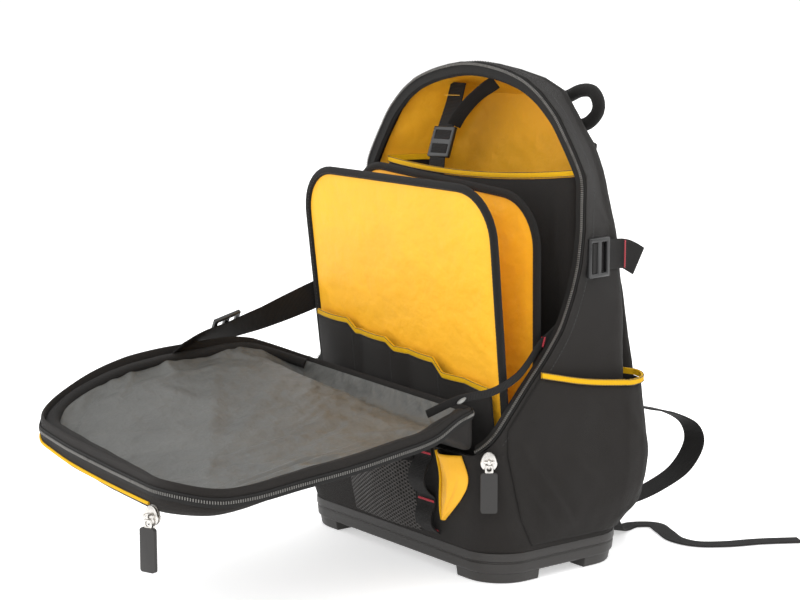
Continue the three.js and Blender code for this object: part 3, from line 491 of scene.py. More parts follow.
class Wire:
    """One output of a shader's node, with arithmetic that adds Math nodes."""

    def __init__(self, graph: "Graph", socket: bpy.types.NodeSocket) -> None:
        """Keeps the graph and the socket."""
        self.graph, self.socket = graph, socket

    def _math(self, operation: str, *values: object) -> "Wire":
        """Adds one Math node."""
        return self.graph.node("ShaderNodeMath", {"operation": operation}, list(values))

    def __add__(self, other: object) -> "Wire":
        """self + other."""
        return self._math("ADD", self, other)

    def __sub__(self, other: object) -> "Wire":
        """self - other."""
        return self._math("SUBTRACT", self, other)

    def __rsub__(self, other: object) -> "Wire":
        """other - self."""
        return self._math("SUBTRACT", other, self)

    def __mul__(self, other: object) -> "Wire":
        """self * other."""
        return self._math("MULTIPLY", self, other)

    __radd__ = __add__
    __rmul__ = __mul__

    def sine(self) -> "Wire":
        """Sine of an angle in radians."""
        return self._math("SINE", self)

    def size(self) -> "Wire":
        """The value without its sign."""
        return self._math("ABSOLUTE", self)

    def above(self, limit: float) -> "Wire":
        """1 where the value is above a limit."""
        return self._math("GREATER_THAN", self, limit)

    def held(self) -> "Wire":
        """The value held between 0 and 1."""
        return self.graph.node("ShaderNodeClamp", {}, {"Value": self})


class Graph:
    """A material's node graph with one principled shader."""

    def __init__(self, name: str, **fixed: object) -> None:
        """Makes the material and sets the shader's own sockets."""
        self.material = bpy.data.materials.new(name)
        self.material.use_nodes = True
        self.tree = self.material.node_tree
        self.shader = next(n for n in self.tree.nodes if n.type == "BSDF_PRINCIPLED")
        for socket, value in fixed.items():
            self.shader.inputs[socket.replace("_", " ")].default_value = value

    def node(self, kind: str, settings: dict, values: object, output: int = 0) -> Wire:
        """Adds a node.

        Args:
            kind: The node's type.
            settings: What it is set to, with a ramp's stops under "stops".
            values: Values or wires of its sockets, as a list or by name.
            output: Which output to return.

        Returns:
            That output.
        """
        made = self.tree.nodes.new(kind)
        for name, value in settings.items():
            if name == "stops":
                while len(made.color_ramp.elements) < len(value):
                    made.color_ramp.elements.new(0.5)
                for element, (place, colour) in zip(made.color_ramp.elements, value):
                    element.position, element.color = place, (*colour, 1)
            else:
                setattr(made, name, value)
        for key, value in values.items() if isinstance(values, dict) else enumerate(values):
            self.set(made.inputs[key], value)
        return Wire(self, made.outputs[output])

    def set(self, socket: bpy.types.NodeSocket, value: object) -> None:
        """Links a wire to a socket, or sets the socket's own value."""
        if isinstance(value, Wire):
            self.tree.links.new(value.socket, socket)
        else:
            socket.default_value = value

    def feed(self, **sockets: object) -> bpy.types.Material:
        """Feeds the shader's sockets and returns the material."""
        for name, value in sockets.items():
            self.set(self.shader.inputs[name.replace("_", " ")], value)
        return self.material

    def object_place(self) -> Wire:
        """Object coordinates."""
        return self.node("ShaderNodeTexCoord", {}, {}, 3)

    def cloth_place(self) -> tuple[Wire, Wire]:
        """Cloth coordinates across and along, in metres."""
        across = self.node("ShaderNodeSeparateXYZ", {},
            [self.node("ShaderNodeUVMap", {"uv_map": "cloth"}, {})])
        return across, Wire(self, across.socket.node.outputs[1])

    def grain(self, size: float, detail: float = 3.0, rough: float = 0.6) -> Wire:
        """Noise in object space whose lumps have a size in metres."""
        return self.node("ShaderNodeTexNoise", {"noise_dimensions": "3D"},
                         {"Vector": self.object_place(), "Scale": 1 / size, "Detail": detail,
                         "Roughness": rough})

    def tint(self, factor: Wire, dark: Sequence[float], light: Sequence[float]) -> Wire:
        """A colour between two by a factor."""
        return self.node("ShaderNodeMix", {"data_type": "RGBA"}, {0: factor, 6: (*dark, 1), 7: (*light, 1)},
            2)

    def bump(self, height: Wire, deep: float, strength: float = 1.0) -> Wire:
        """A bump node fed by a height."""
        return self.node("ShaderNodeBump", {}, {"Strength": strength, "Distance": deep, "Height": height})


def toned(colour: Sequence[float], share: float) -> tuple[float, ...]:
    """A colour made darker or lighter by a share."""
    return tuple(min(c * share, 1.0) for c in colour)


@dataclass(frozen=True)
class Woven:
    """Plain woven cloth: threads, fibre flecks, wear and a soft bloom."""

    name: str
    colour: tuple[float, float, float]
    thread: float = 0.0011
    roughness: float = 0.82
    relief: float = 0.00035
    spread: float = 0.45
    sheen: float = 0.03

    def make(self) -> bpy.types.Material:
        """Makes the material."""
        g = Graph(self.name, Sheen_Weight=self.sheen, Sheen_Roughness=0.5, Specular_IOR_Level=0.22)
        u, v = g.cloth_place()
        turn = 2 * math.pi / self.thread
        weave = (u * turn).sine() * (v * turn).sine()
        fleck = g.grain(0.0009, 2.0)
        patch = g.grain(0.06, 4.0)
        factor = (weave * 0.22 + fleck * 0.9 + patch * 0.5 - 0.35).held()
        colour = g.tint(factor, toned(self.colour, 1 - self.spread), toned(self.colour, 1 + self.spread))
        height = weave * 0.5 + fleck * 0.9
        return g.feed(Base_Color=colour, Roughness=(patch * 0.16 + (self.roughness - 0.08)).held(),
                      Normal=g.bump(height, self.relief))


@dataclass(frozen=True)
class Coated:
    """Thin coated cloth with a soft gloss, fine threads and slight rumples."""

    name: str
    colour: tuple[float, float, float]
    roughness: float = 0.5
    rumple: float = 0.0012
    spread: float = 0.12
    coat: float = 0.0

    def make(self) -> bpy.types.Material:
        """Makes the material."""
        g = Graph(self.name, Specular_IOR_Level=0.3, Coat_Weight=self.coat, Coat_Roughness=0.35)
        u, v = g.cloth_place()
        turn = 2 * math.pi / 0.0008
        weave = (u * turn).sine() * (v * turn).sine()
        soft = g.grain(0.045, 2.0, 0.5)
        fine = g.grain(0.002, 3.0)
        factor = (soft * 0.8 + fine * 0.25 + weave * 0.04).held()
        colour = g.tint(factor, toned(self.colour, 1 - self.spread), toned(self.colour, 1 + self.spread))
        height = soft * 4.0 + g.grain(0.012, 2.0) * 0.8 + weave * 0.03
        return g.feed(Base_Color=colour, Roughness=(fine * 0.12 + (self.roughness - 0.06)).held(),
                      Normal=g.bump(height, self.rumple))


@dataclass(frozen=True)
class Ribbed:
    """Webbing or tape with ribs across its length and fine threads along it."""

    name: str
    colour: tuple[float, float, float]
    rib: float = 0.0016
    relief: float = 0.0004
    roughness: float = 0.75

    def make(self) -> bpy.types.Material:
        """Makes the material."""
        g = Graph(self.name, Specular_IOR_Level=0.25)
        u, v = g.cloth_place()
        ribs = (v * (math.pi / self.rib)).sine().size()
        cross = (u * (2 * math.pi / 0.0012)).sine()
        fleck = g.grain(0.0012, 3.0)
        factor = (ribs * 0.5 + cross * 0.12 + fleck * 0.4 - 0.05).held()
        colour = g.tint(factor, toned(self.colour, 0.5), toned(self.colour, 1.5))
        return g.feed(Base_Color=colour, Roughness=(fleck * 0.2 + (self.roughness - 0.1)).held(),
                      Normal=g.bump(ribs + cross * 0.25 + fleck * 0.3, self.relief))


@dataclass(frozen=True)
class Moulded:
    """Moulded plastic or rubber with a fine grain and scattered rubbed marks."""

    name: str
    colour: tuple[float, float, float]
    roughness: float = 0.5
    grain: float = 0.0008
    relief: float = 0.00012
    scuffs: float = 0.25

    def make(self) -> bpy.types.Material:
        """Makes the material."""
        g = Graph(self.name, Specular_IOR_Level=0.45)
        grain = g.node("ShaderNodeTexVoronoi", {"feature": "F1"},
                       {"Vector": g.object_place(), "Scale": 1 / self.grain, "Randomness": 1.0})
        patch = g.grain(0.03, 5.0)
        scuff = (g.grain(0.004, 6.0, 0.75) - 0.55).held() * self.scuffs
        colour = g.tint((patch * 0.6 + scuff).held(), toned(self.colour, 0.8), toned(self.colour, 1.6))
        return g.feed(Base_Color=colour, Roughness=(patch * 0.14 + scuff + (self.roughness - 0.07)).held(),
                      Normal=g.bump(grain, self.relief))


@dataclass(frozen=True)
class Plated:
    """Nickel-plated metal with a brushed grain and small marks."""

    name: str
    colour: tuple[float, float, float]

    def make(self) -> bpy.types.Material:
        """Makes the material."""
        g = Graph(self.name, Metallic=1.0)
        brush = g.grain(0.0012, 4.0, 0.7)
        mark = g.grain(0.006, 5.0)
        colour = g.tint(mark, toned(self.colour, 0.75), toned(self.colour, 1.1))
        return g.feed(Base_Color=colour, Roughness=(brush * 0.2 + mark * 0.15 + 0.08).held(),
                      Normal=g.bump(brush, 0.00003))


@dataclass(frozen=True)
class Net:
    """Open net with six-sided holes."""

    name: str
    colour: tuple[float, float, float]
    hole: float = 0.0036

    def make(self) -> bpy.types.Material:
        """Makes the material."""
        g = Graph(self.name, Roughness=0.6, Specular_IOR_Level=0.4)
        u, v = g.cloth_place()
        turn = 2 * math.pi / self.hole
        wave = (u * turn).sine() + (u * (turn * 0.5) + v * (turn * 0.866)).sine()
        wave = wave + (u * (turn * 0.5) - v * (turn * 0.866)).sine()
        thread = 1 - wave.above(0.55)
        fleck = g.grain(0.0015)
        colour = g.tint(fleck, toned(self.colour, 0.6), toned(self.colour, 1.6))
        return g.feed(Base_Color=colour, Alpha=thread, Normal=g.bump(wave * -0.5, 0.0006))


@dataclass(frozen=True)
class Twisted:
    """Sewing thread."""

    name: str
    colour: tuple[float, float, float]

    def make(self) -> bpy.types.Material:
        """Makes the material."""
        g = Graph(self.name, Sheen_Weight=0.3, Specular_IOR_Level=0.4)
        fleck = g.grain(0.0007, 2.0)
        colour = g.tint(fleck, toned(self.colour, 0.6), toned(self.colour, 1.4))
        return g.feed(Base_Color=colour, Roughness=(fleck * 0.2 + 0.55).held(), Normal=g.bump(fleck, 0.0002))


class Kit:
    """The finishes of this object, each made once."""

    def __init__(self) -> None:
        """Makes every material."""
        self.cloth = Woven("charcoal_cloth", (0.0155, 0.0132, 0.0117)).make()
        self.binding = Woven("binding_cloth", (0.0115, 0.0105, 0.0098), thread=0.0014, relief=0.0005).make()
        self.panel = Coated("orange_yellow_cloth", (0.88, 0.44, 0.022), roughness=0.5).make()
        self.lining = Coated("grey_lining", (0.085, 0.086, 0.081), roughness=0.38, rumple=0.003, spread=0.3,
            coat=0.1).make()
        self.trim = Ribbed("yellow_tape", (0.8, 0.39, 0.0015), rib=0.001, relief=0.0002).make()
        self.web = Ribbed("black_webbing", (0.0115, 0.0105, 0.01)).make()
        self.tape = Ribbed("zip_tape_cloth", (0.012, 0.0115, 0.011), rib=0.0007, relief=0.0002).make()
        self.tub = Moulded("charcoal_plastic", (0.02, 0.0178, 0.0162), roughness=0.5).make()
        self.slide = Moulded("black_plastic", (0.011, 0.011, 0.011), roughness=0.3, grain=0.0005,
            relief=0.00004).make()
        # The coil's light grey colour is a painted highlight: it stands in for the pale glints on the dark
        # teeth.
        self.teeth = Moulded("zip_coil", (0.13, 0.125, 0.116), roughness=0.28, relief=0.00003,
            scuffs=0.5).make()
        self.rubber = Moulded("dark_rubber", (0.022, 0.0205, 0.0195), roughness=0.6, relief=0.00008).make()
        self.metal = Plated("nickel", (0.62, 0.6, 0.57)).make()
        self.net = Net("black_net", (0.035, 0.031, 0.028)).make()
        self.black_thread = Twisted("black_thread", (0.012, 0.012, 0.012)).make()
        self.yellow_thread = Twisted("yellow_thread", (0.85, 0.42, 0.02)).make()
        self.red_thread = Twisted("crimson_thread", (0.45, 0.012, 0.03)).make()
        self.grey_plastic = Moulded("grey_plastic", (0.22, 0.22, 0.21), roughness=0.35).make()


KIT = Kit()


def dressed(obj: Piece, finish: bpy.types.Material, slot: str, *nodes: str, body: str = BODY) -> Piece:
    """Gives a piece its finish and its place in the frame.

    Args:
        obj: The piece.
        finish: Its material.
        slot: The record's material slot; not used.
        nodes: CAD nodes that it stands for.
        body: The CAD body that it rides on.

    Returns:
        The piece.
    """
    obj.data.materials.clear()
    obj.data.materials.append(finish)
    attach(obj, body)
    if nodes:
        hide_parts(*nodes)
    LOG.info("%s: %d faces", obj.name, len(obj.data.polygons))
    return obj


def cut_size(rows: Points) -> tuple[float, float]:
    """Flat width and length of a sheet, in metres, rounded up."""
    wide = np.linalg.norm(np.diff(rows, axis=1), axis=2).sum(axis=1).max()
    long = np.linalg.norm(np.diff(rows, axis=0), axis=2).sum(axis=0).max()
    return math.ceil(wide) * MM, math.ceil(long) * MM


def cut_area(rows: Points) -> float:
    """Area of a sheet's face, in square metres."""
    du, dv = np.diff(rows, axis=1)[:-1], np.diff(rows, axis=0)[:, :-1]
    return float(np.linalg.norm(np.cross(du, dv), axis=2).sum()) * MM * MM


def declared(obj: Piece, rows: Points) -> Piece:
    """Works out a sheet's flat size and the share of it that its face covers; the result is not kept."""
    flat = cut_size(rows)
    area = min(cut_area(rows), flat[0] * flat[1])
    share = area / (flat[0] * flat[1])
    area if share < 0.97 else None
    return obj


def inflated(obj: Piece, voxel: float, pressure: float, cap: float) -> Piece:
    """Fills a padded piece by a short cloth simulation.

    Args:
        obj: The closed piece.
        voxel: Size of the new mesh's faces, in millimetres.
        pressure: Pressure of the filling.
        cap: How far a point may move, in millimetres.

    Returns:
        The same object, its simulation applied.
    """
    applied(obj, "REMESH", mode="VOXEL", voxel_size=voxel * MM, use_smooth_shade=True)
    rest = points_of(obj)
    scene = bpy.context.scene
    cloth_part = obj.modifiers.new("Cloth", "CLOTH")
    cloth_part.settings.use_pressure = True
    cloth_part.settings.uniform_pressure_force = pressure
    cloth_part.settings.effector_weights.gravity = 0
    cloth_part.settings.quality = 5
    cloth_part.point_cache.frame_start, cloth_part.point_cache.frame_end = 1, 20
    for number in range(1, 21):
        scene.frame_set(number)
    alone(obj)
    bpy.ops.object.modifier_apply(modifier="Cloth")
    moved = points_of(obj) - rest
    length = np.linalg.norm(moved, axis=1, keepdims=True)
    held = rest + moved * np.minimum(1, cap * MM / np.maximum(length, 1e-9))
    obj.data.vertices.foreach_set("co", held.ravel())
    scene.frame_set(1)
    applied(obj, "SMOOTH", factor=0.5, iterations=4)
    applied(obj, "SUBSURF", levels=1, render_levels=1)
    return smooth(obj, 60)


def box_cloth(obj: Piece) -> Piece:
    """Gives a remeshed piece cloth coordinates from its places and normals."""
    mesh = obj.data
    layer = mesh.uv_layers.get("cloth") or mesh.uv_layers.new(name="cloth")
    for face in mesh.polygons:
        n = face.normal
        axis = max(range(3), key=lambda k: abs(n[k]))
        a, b = [k for k in range(3) if k != axis]
        for k in face.loop_indices:
            co = mesh.vertices[mesh.loops[k].vertex_index].co
            layer.data[k].uv = (co[a], co[b])
    return obj


@dataclass
class Studio:
    """Camera at the photograph's angle, pale floor and soft lights."""

    eye: tuple[float, float, float] = (1.39681, -1.14397, 0.5013)
    azimuth: float = 52.72
    elevation: float = 8.01
    lens: float = 77.95
    lamps: list[tuple] = field(default_factory=lambda: [
        # place, target, width, power
        ((1.3, -1.5, 1.7), (0, -0.1, 0.2), 2.2, 17.0),
        ((-1.6, -1.4, 1.5), (0, -0.1, 0.2), 2.2, 12.0),
        ((0.9, 1.6, 1.4), (0, 0, 0.3), 1.6, 5.0),
        ((0.0, -0.3, 2.2), (0, -0.1, 0), 2.4, 11.0),
        ((0.5, -2.3, 0.8), (0, 0, 0.36), 1.2, 4.0),
    ])

    def camera(self) -> None:
        """Makes the camera."""
        data = bpy.data.cameras.new("camera")
        data.lens, data.sensor_width = self.lens, 36.0
        data.clip_start, data.clip_end = 0.01, 50.0
        obj = bpy.data.objects.new("camera", data)
        obj.location = self.eye
        obj.rotation_euler = (math.radians(90 - self.elevation), 0, math.radians(self.azimuth))
        bpy.context.scene.collection.objects.link(obj)
        bpy.context.scene.camera = obj

    def floor(self) -> None:
        """Makes the pale floor."""
        clear_selection()
        bpy.ops.mesh.primitive_plane_add(size=60, location=(0, 0, -S.foot * MM - 0.0004))
        obj = bpy.context.object
        obj.name = "floor"
        g = Graph("pale_floor", Roughness=0.7, Specular_IOR_Level=0.2, Emission_Color=(1, 1, 1, 1),
            Emission_Strength=0.5)
        patch = g.grain(0.6, 2.0)
        obj.data.materials.append(g.feed(Base_Color=g.tint(patch, (0.93, 0.93, 0.93), (0.95, 0.95, 0.95))))

    def lights(self) -> None:
        """Makes the soft lights and the pale surroundings."""
        for k, (place, target, width, power) in enumerate(self.lamps):
            data = bpy.data.lights.new(f"lamp_{k}", "AREA")
            data.shape, data.size, data.energy = "DISK", width, power
            obj = bpy.data.objects.new(f"lamp_{k}", data)
            obj.location = place
            obj.rotation_euler = (Vector(target) - Vector(place)).to_track_quat("-Z", "Y").to_euler()
            bpy.context.scene.collection.objects.link(obj)
        world = bpy.data.worlds.new("studio")
        world.use_nodes = True
        back = world.node_tree.nodes["Background"]
        back.inputs[0].default_value = (1, 1, 1, 1)
        back.inputs[1].default_value = 1.06
        bpy.context.scene.world = world
        bpy.context.scene.view_settings.view_transform = "Standard"

    def build(self) -> None:
        """Builds the studio."""
        self.camera()
        self.floor()
        self.lights()


@dataclass
class Tub:
    """Moulded base: tray with a groove under its rim, and four corner feet."""

    wall: float = 5.0
    floor: float = 4.0
    # inset, height over the floor
    profile: tuple = ((3, 10), (1.4, 11.6), (1.2, 13), (0.6, 20.4), (1.6, 21.2), (1.6, 22.4), (0.2, 23.2),
        (0, 25), (0, 31.4))
    foot_long: float = 62.0
    foot_wide: float = 22.0
    foot_high: float = 9.4
    foot_low: float = 1.2
    foot_inset: float = 15.0

    def tray(self) -> Piece:
        """Models the tray from a rounded plate, extruded up its profile."""
        clear_selection()
        inset, low = self.profile[0]
        bpy.ops.mesh.primitive_plane_add(size=1, location=(0, 0, 0))
        obj = bpy.context.object
        obj.name = "tub_tray"
        bpy.ops.object.mode_set(mode="EDIT")
        bpy.ops.mesh.select_all(action="SELECT")
        wide, deep = S.base_width - 2 * inset, S.base_depth - 2 * inset
        bpy.ops.transform.resize(value=(wide * MM, deep * MM, 1))
        bpy.ops.transform.translate(value=(0, 0, (low - S.foot) * MM))
        bpy.ops.mesh.bevel(offset=(S.base_corner - inset) * MM, segments=12, affect="VERTICES")
        for inset, height in self.profile[1:]:
            extrude(0, height - low)
            new_wide, new_deep = S.base_width - 2 * inset, S.base_depth - 2 * inset
            bpy.ops.transform.resize(value=(new_wide / wide, new_deep / deep, 1), center_override=(0, 0, 0))
            wide, deep, low = new_wide, new_deep, height
        bpy.ops.mesh.inset(thickness=self.wall * MM)
        drop = S.base_height - S.foot - self.floor
        extrude(0, -drop)
        bpy.ops.mesh.select_all(action="SELECT")
        bpy.ops.mesh.normals_make_consistent(inside=False)
        bpy.ops.object.mode_set(mode="OBJECT")
        settle()
        rounded(obj, 0.7, 32)
        return smooth(obj, 40)

    def feet(self) -> Piece:
        """Models one foot as a band round a corner and sets it at all four."""
        x, y = S.base_width / 2 - self.foot_inset, S.base_depth / 2 - self.foot_inset
        corner = S.base_corner - self.foot_inset
        turn = np.radians(np.linspace(0, 90, 9))
        start = (S.base_width / 2 - self.foot_long, y, self.foot_low)
        end = (x, S.base_depth / 2 - self.foot_long, self.foot_low)
        arc = [(x - corner + corner * math.sin(t), y - corner + corner * math.cos(t), self.foot_low)
            for t in turn]
        line = spaced(row([start, *arc, end]), 30)
        section = row([(-0.5, 0), (-0.47, -0.13), (0.44, -0.13), (0.47, 0), (0.53, 0.8), (0.55, 1),
            (-0.5, 1)])
        rows = []
        for at, way in zip(line, tangents(line)):
            out = unit(np.cross((0, 0, 1), way))
            rows.append([at + out * a * self.foot_wide + (0, 0, b * self.foot_high) for a, b in section])
        one = row(rows)
        pieces = []
        for sx in (1, -1):
            for sy in (1, -1):
                turned = one * (sx, sy, 1)
                pieces.append(turned if sx * sy > 0 else turned[::-1])
        parts = [lattice(f"foot_{k}", p, ring=True, capped=True) for k, p in enumerate(pieces)]
        feet = joined(parts)
        feet.name = "tub_feet"
        rounded(feet, 0.9, 35)
        return smooth(feet, 40)

    def build(self) -> None:
        """Builds and dresses the tub."""
        dressed(self.tray(), KIT.tub, "tub", "base_tub")
        dressed(self.feet(), KIT.tub, "tub")


SECTIONS = row([
    # height, front half, back half, front reach, back reach, front corner, back corner
    (0.0626, 0.922, 0.922, -1.0, 1.0, 45, 45),
    (0.13, 0.93, 0.93, -1.08, 1.0, 34, 38),
    (0.259, 0.934, 0.93, -1.146, 1.0, 22, 32),
    (0.395, 0.94, 0.932, -1.146, 1.0, 20, 28),
    (0.488, 0.955, 0.91, -1.14, 1.0, 16, 26),
    (0.563, 0.978, 0.885, -1.1, 1.0, 12, 24),
    (0.622, 0.991, 0.855, -0.5, 1.0, 8, 23),
    (0.682, 1.0, 0.82, -0.5, 1.0, 6, 22),
    (0.783, 0.998, 0.72, -0.4, 1.0, 6, 20),
    (0.832, 0.91, 0.65, -0.4, 1.0, 6, 20),
    (0.899, 0.775, 0.49, -0.4, 1.0, 6, 18),
    (0.94, 0.64, 0.39, -0.4, 0.98, 6, 16),
    (0.966, 0.51, 0.35, -0.4, 0.72, 6, 12),
    (0.984, 0.38, 0.28, -0.4, 0.45, 6, 8),
    (0.995, 0.23, 0.18, -0.4, 0.28, 4, 4),
    (1.0, 0.1, 0.08, -0.4, 0.16, 2, 2),
])
SCALES = row([S.body_half, S.body_half, S.back_reach, S.back_reach, 1, 1])
OPENING = row([
    # height, reach
    (S.zip_low, -S.front_reach),
    (0.364 * S.body_top, -0.66 * S.back_reach),
    (0.435 * S.body_top, -0.32 * S.back_reach),
    (0.488 * S.body_top, -0.11 * S.back_reach),
    (0.563 * S.body_top, 0.5 * S.opening_plane),
    (0.682 * S.body_top, S.opening_plane),
    (S.body_top, S.opening_plane),
])


def section_at(z: float) -> Points:
    """The body's plan section at a height: halves, reaches and corner radii."""
    return row([np.interp(z, SECTIONS[:, 0] * S.body_top, SECTIONS[:, k + 1]) for k in range(6)]) * SCALES


def opening_at(z: Points | float) -> Points:
    """How far back the opening's edge lies at a height."""
    return np.interp(z, OPENING[:, 0], OPENING[:, 1])


def half_line(z: float, inset: float = 0.0) -> Points:
    """Plan of the body's right half at a height, from the front corner to the back's middle."""
    wf, wb, yf, yb, rf, rb = section_at(z)
    wf, wb, yf, yb = wf - inset, wb - inset, yf + inset, yb - inset
    rf, rb = max(rf - inset, 1), max(rb - inset, 1)
    turn = np.radians(np.linspace(-90, 0, 9))
    front = np.stack([wf - rf + rf * np.cos(turn), yf + rf + rf * np.sin(turn)], axis=1)
    y = np.linspace(yf + rf, yb - rb, 18)[1:-1]
    split = min(S.opening_plane, (yf + rf + yb - rb) / 2)
    share = np.clip((y - split) / (yb - rb - split), 0, 1)
    side = np.stack([wf + (wb - wf) * share, y], axis=1)
    back = np.stack([wb - rb + rb * np.cos(turn + math.pi / 2), yb - rb + rb * np.sin(turn + math.pi / 2)],
        axis=1)
    return np.concatenate([front, side, back, [(0, yb)]])


def half_at(y: float, z: float) -> float:
    """Half width of the body at a reach and a height."""
    line = half_line(z)
    return float(np.interp(y, line[:-1, 1], line[:-1, 0]))


@dataclass
class EdgeRun:
    """The opening's edge, from low on the right side over the crown to the left."""

    start: float = S.zip_low + 2
    count: int = 260

    def __post_init__(self) -> None:
        """Works out its points and its two directions."""
        heights = np.linspace(self.start, S.body_top * 0.9985, 110)
        side = row([(half_at(max(opening_at(z), section_at(z)[2]), z), opening_at(z), z) for z in heights])
        crown = row([(0, S.opening_plane, S.body_top + 0.4)])
        line = spaced(np.concatenate([side, crown, side[::-1] * (-1, 1, 1)]), self.count)
        for _ in range(6):
            line[1:-1] = (line[:-2] + 2 * line[1:-1] + line[2:]) / 4
        self.line = line
        slope = opening_at(line[:, 2] + 2) - opening_at(line[:, 2] - 2)
        self.out = unit(np.stack([slope * 0, slope * 0 - 4, slope], axis=1))
        inward = unit(np.cross(self.out, tangents(line)))
        centre = row((0, 0, 0.62 * S.body_top)) - line * (1, 0, 1)
        self.inward = inward * np.sign((inward * centre).sum(axis=1, keepdims=True))

    def moved(self, inward: float, out: float) -> Points:
        """The edge moved inwards and outwards."""
        return self.line + self.inward * inward + self.out * out


@dataclass
class Shell:
    """Sewn body: wrap, front wall, zip round the opening and yellow back lining."""

    columns: int = 46
    rows_low: int = 16
    rows_high: int = 62

    def heights(self) -> Points:
        """Heights of the rows, close together where the roof turns over."""
        low = np.linspace(S.base_height + 0.3, S.zip_low, self.rows_low)
        mid = np.linspace(S.zip_low, 0.94 * S.body_top, self.rows_high)[1:]
        top = np.concatenate([np.linspace(a, b, 6)[1:] for a, b in zip(SECTIONS[11:-1, 0], SECTIONS[12:, 0])])
        return np.concatenate([low, mid, top * S.body_top])

    def wrap(self) -> Points:
        """Rows of points from the right cut edge round the back to the left one."""
        rows = []
        for z in self.heights():
            line = half_line(z)
            if z > S.zip_low:
                cut = max(float(opening_at(z)), line[0, 1])
                k = int(np.argmax(line[:, 1] > cut + 1e-6))
                if k > 0:
                    x = np.interp(cut, line[k - 1:k + 1, 1], line[k - 1:k + 1, 0])
                    line = np.concatenate([[(x, cut)], line[k:]])
            half = spaced(line, self.columns)
            full = np.concatenate([half, half[-2::-1] * (-1, 1)])
            rows.append(np.concatenate([full, np.full((len(full), 1), z)], axis=1))
        return row(rows)

    def softened(self, rows: Points) -> Points:
        """Adds the cloth's slack: shallow dents, seam pull and side folds."""
        n = normals(rows)
        u, v = shares(rows.shape[1], rows.shape[0])
        lumps = cloud(rows, 95.0, 3.0) * 1.5 + cloud(rows, 38.0, 8.0) * 0.7 + cloud(rows, 15.0, 5.0) * 0.22
        folds = (crease(u, v, (0.03, 0.62), (0.2, 0.52), 0.016, 1.2)
            + crease(u, v, (0.03, 0.45), (0.17, 0.4), 0.014, 1.0)
                 + crease(u, v, (0.8, 0.52), (0.97, 0.6), 0.016, 1.2)
                 + crease(u, v, (0.06, 0.3), (0.2, 0.36), 0.013, 0.9))
        free = np.clip((rows[..., 2] - S.base_height) / 25, 0, 1) * np.clip(u * 9, 0,
            1) * np.clip((1 - u) * 9, 0, 1)
        return rows + n * ((lumps + folds) * free)[..., None]

    def front_wall(self) -> Points:
        """Rows of the low wall under the opening."""
        rows = []
        for z in np.linspace(S.base_height + 0.3, S.zip_low, self.rows_low):
            wf, _, yf, _, rf, _ = section_at(z)
            x = np.linspace(wf - rf, rf - wf, 40)
            rows.append(np.stack([x, np.full(40, yf), np.full(40, z)], axis=1))
        return row(rows)

    def walls(self) -> None:
        """Builds the shell as one closed cloth wall."""
        wrap = lattice("body_wrap", self.softened(self.wrap())[:, ::-1])
        one = joined([wrap, lattice("body_front", self.front_wall())])
        bpy.ops.object.mode_set(mode="EDIT")
        bpy.ops.mesh.select_all(action="SELECT")
        bpy.ops.mesh.remove_doubles(threshold=0.6 * MM)
        bpy.ops.mesh.normals_make_consistent(inside=False)
        bpy.ops.object.mode_set(mode="OBJECT")
        applied(one, "SOLIDIFY", thickness=(S.wall - 0.6) * MM, offset=-1, use_even_offset=False)
        dressed(smooth(one, 50), KIT.cloth, "body_cloth", "body_shell")

    def zip_round(self, edge: EdgeRun) -> None:
        """Zip tape, coil, rolled binding and seam round the opening."""
        tape = band("opening_zip_tape", edge.moved(6.2, 2.3), edge.inward, 12.4, 1.0)
        dressed(tape, KIT.tape, "zip_tape", "body_zip_tape")
        roll = band("opening_binding", edge.moved(9.4, 1.8), edge.inward, 10.5, 5.0, oval(14), ripple=0.25)
        dressed(roll, KIT.binding, "body_cloth")
        place = spaced(np.concatenate([edge.moved(2.2, 4.2), edge.inward * 9, edge.out * 9], axis=1), 520)
        self.coil("opening_zip_coil", place)
        seam = edge.line - edge.out * 9 + edge.inward * -0.5
        seam[:, 0] *= 1.004
        line = stitches("opening_seam_stitches", seam, -edge.inward, 4.2, 2.8, 0.7)
        dressed(line, KIT.black_thread, "body_cloth")

    @staticmethod
    def coil(name: str, place: Points) -> None:
        """Teeth of a coil zip, one at each row of place, inward and outward."""
        clear_selection()
        bpy.ops.mesh.primitive_cylinder_add(vertices=8, radius=0.55 * MM, depth=2.6 * MM,
            rotation=(0, math.pi / 2, 0))
        tooth = bpy.context.object
        settle()
        at, side, up = place[:, :3], unit(place[:, 3:6]), unit(place[:, 6:])
        along = unit(np.cross(up, side))
        teeth = copied(tooth, name, at, side, along, up)
        dressed(teeth, KIT.teeth, "zip_tape")

    def lining(self) -> None:
        """Yellow lining of the back panel."""
        u, v = shares(18, 34)
        z = S.base_height + 8 + (S.back_top - 24 - S.base_height - 8) * v
        wide = np.interp(z, SECTIONS[:, 0] * S.body_top, SECTIONS[:, 2] * S.body_half - SECTIONS[:, 6]) - 4
        y = np.full_like(z, S.back_reach - S.wall - 0.3)
        rows = np.stack([(u - 0.5) * 2 * wide, y, z], axis=-1)
        rows[..., 1] -= 0.7 + np.abs(cloud(rows, 60.0, 2.0)) * 2.2 * np.sin(math.pi * u)
        sheet = cloth("back_lining_cloth", rows[:, ::-1], 0.9)
        dressed(sheet, KIT.panel, "divider_cloth", "back_lining")
        declared(sheet, rows)

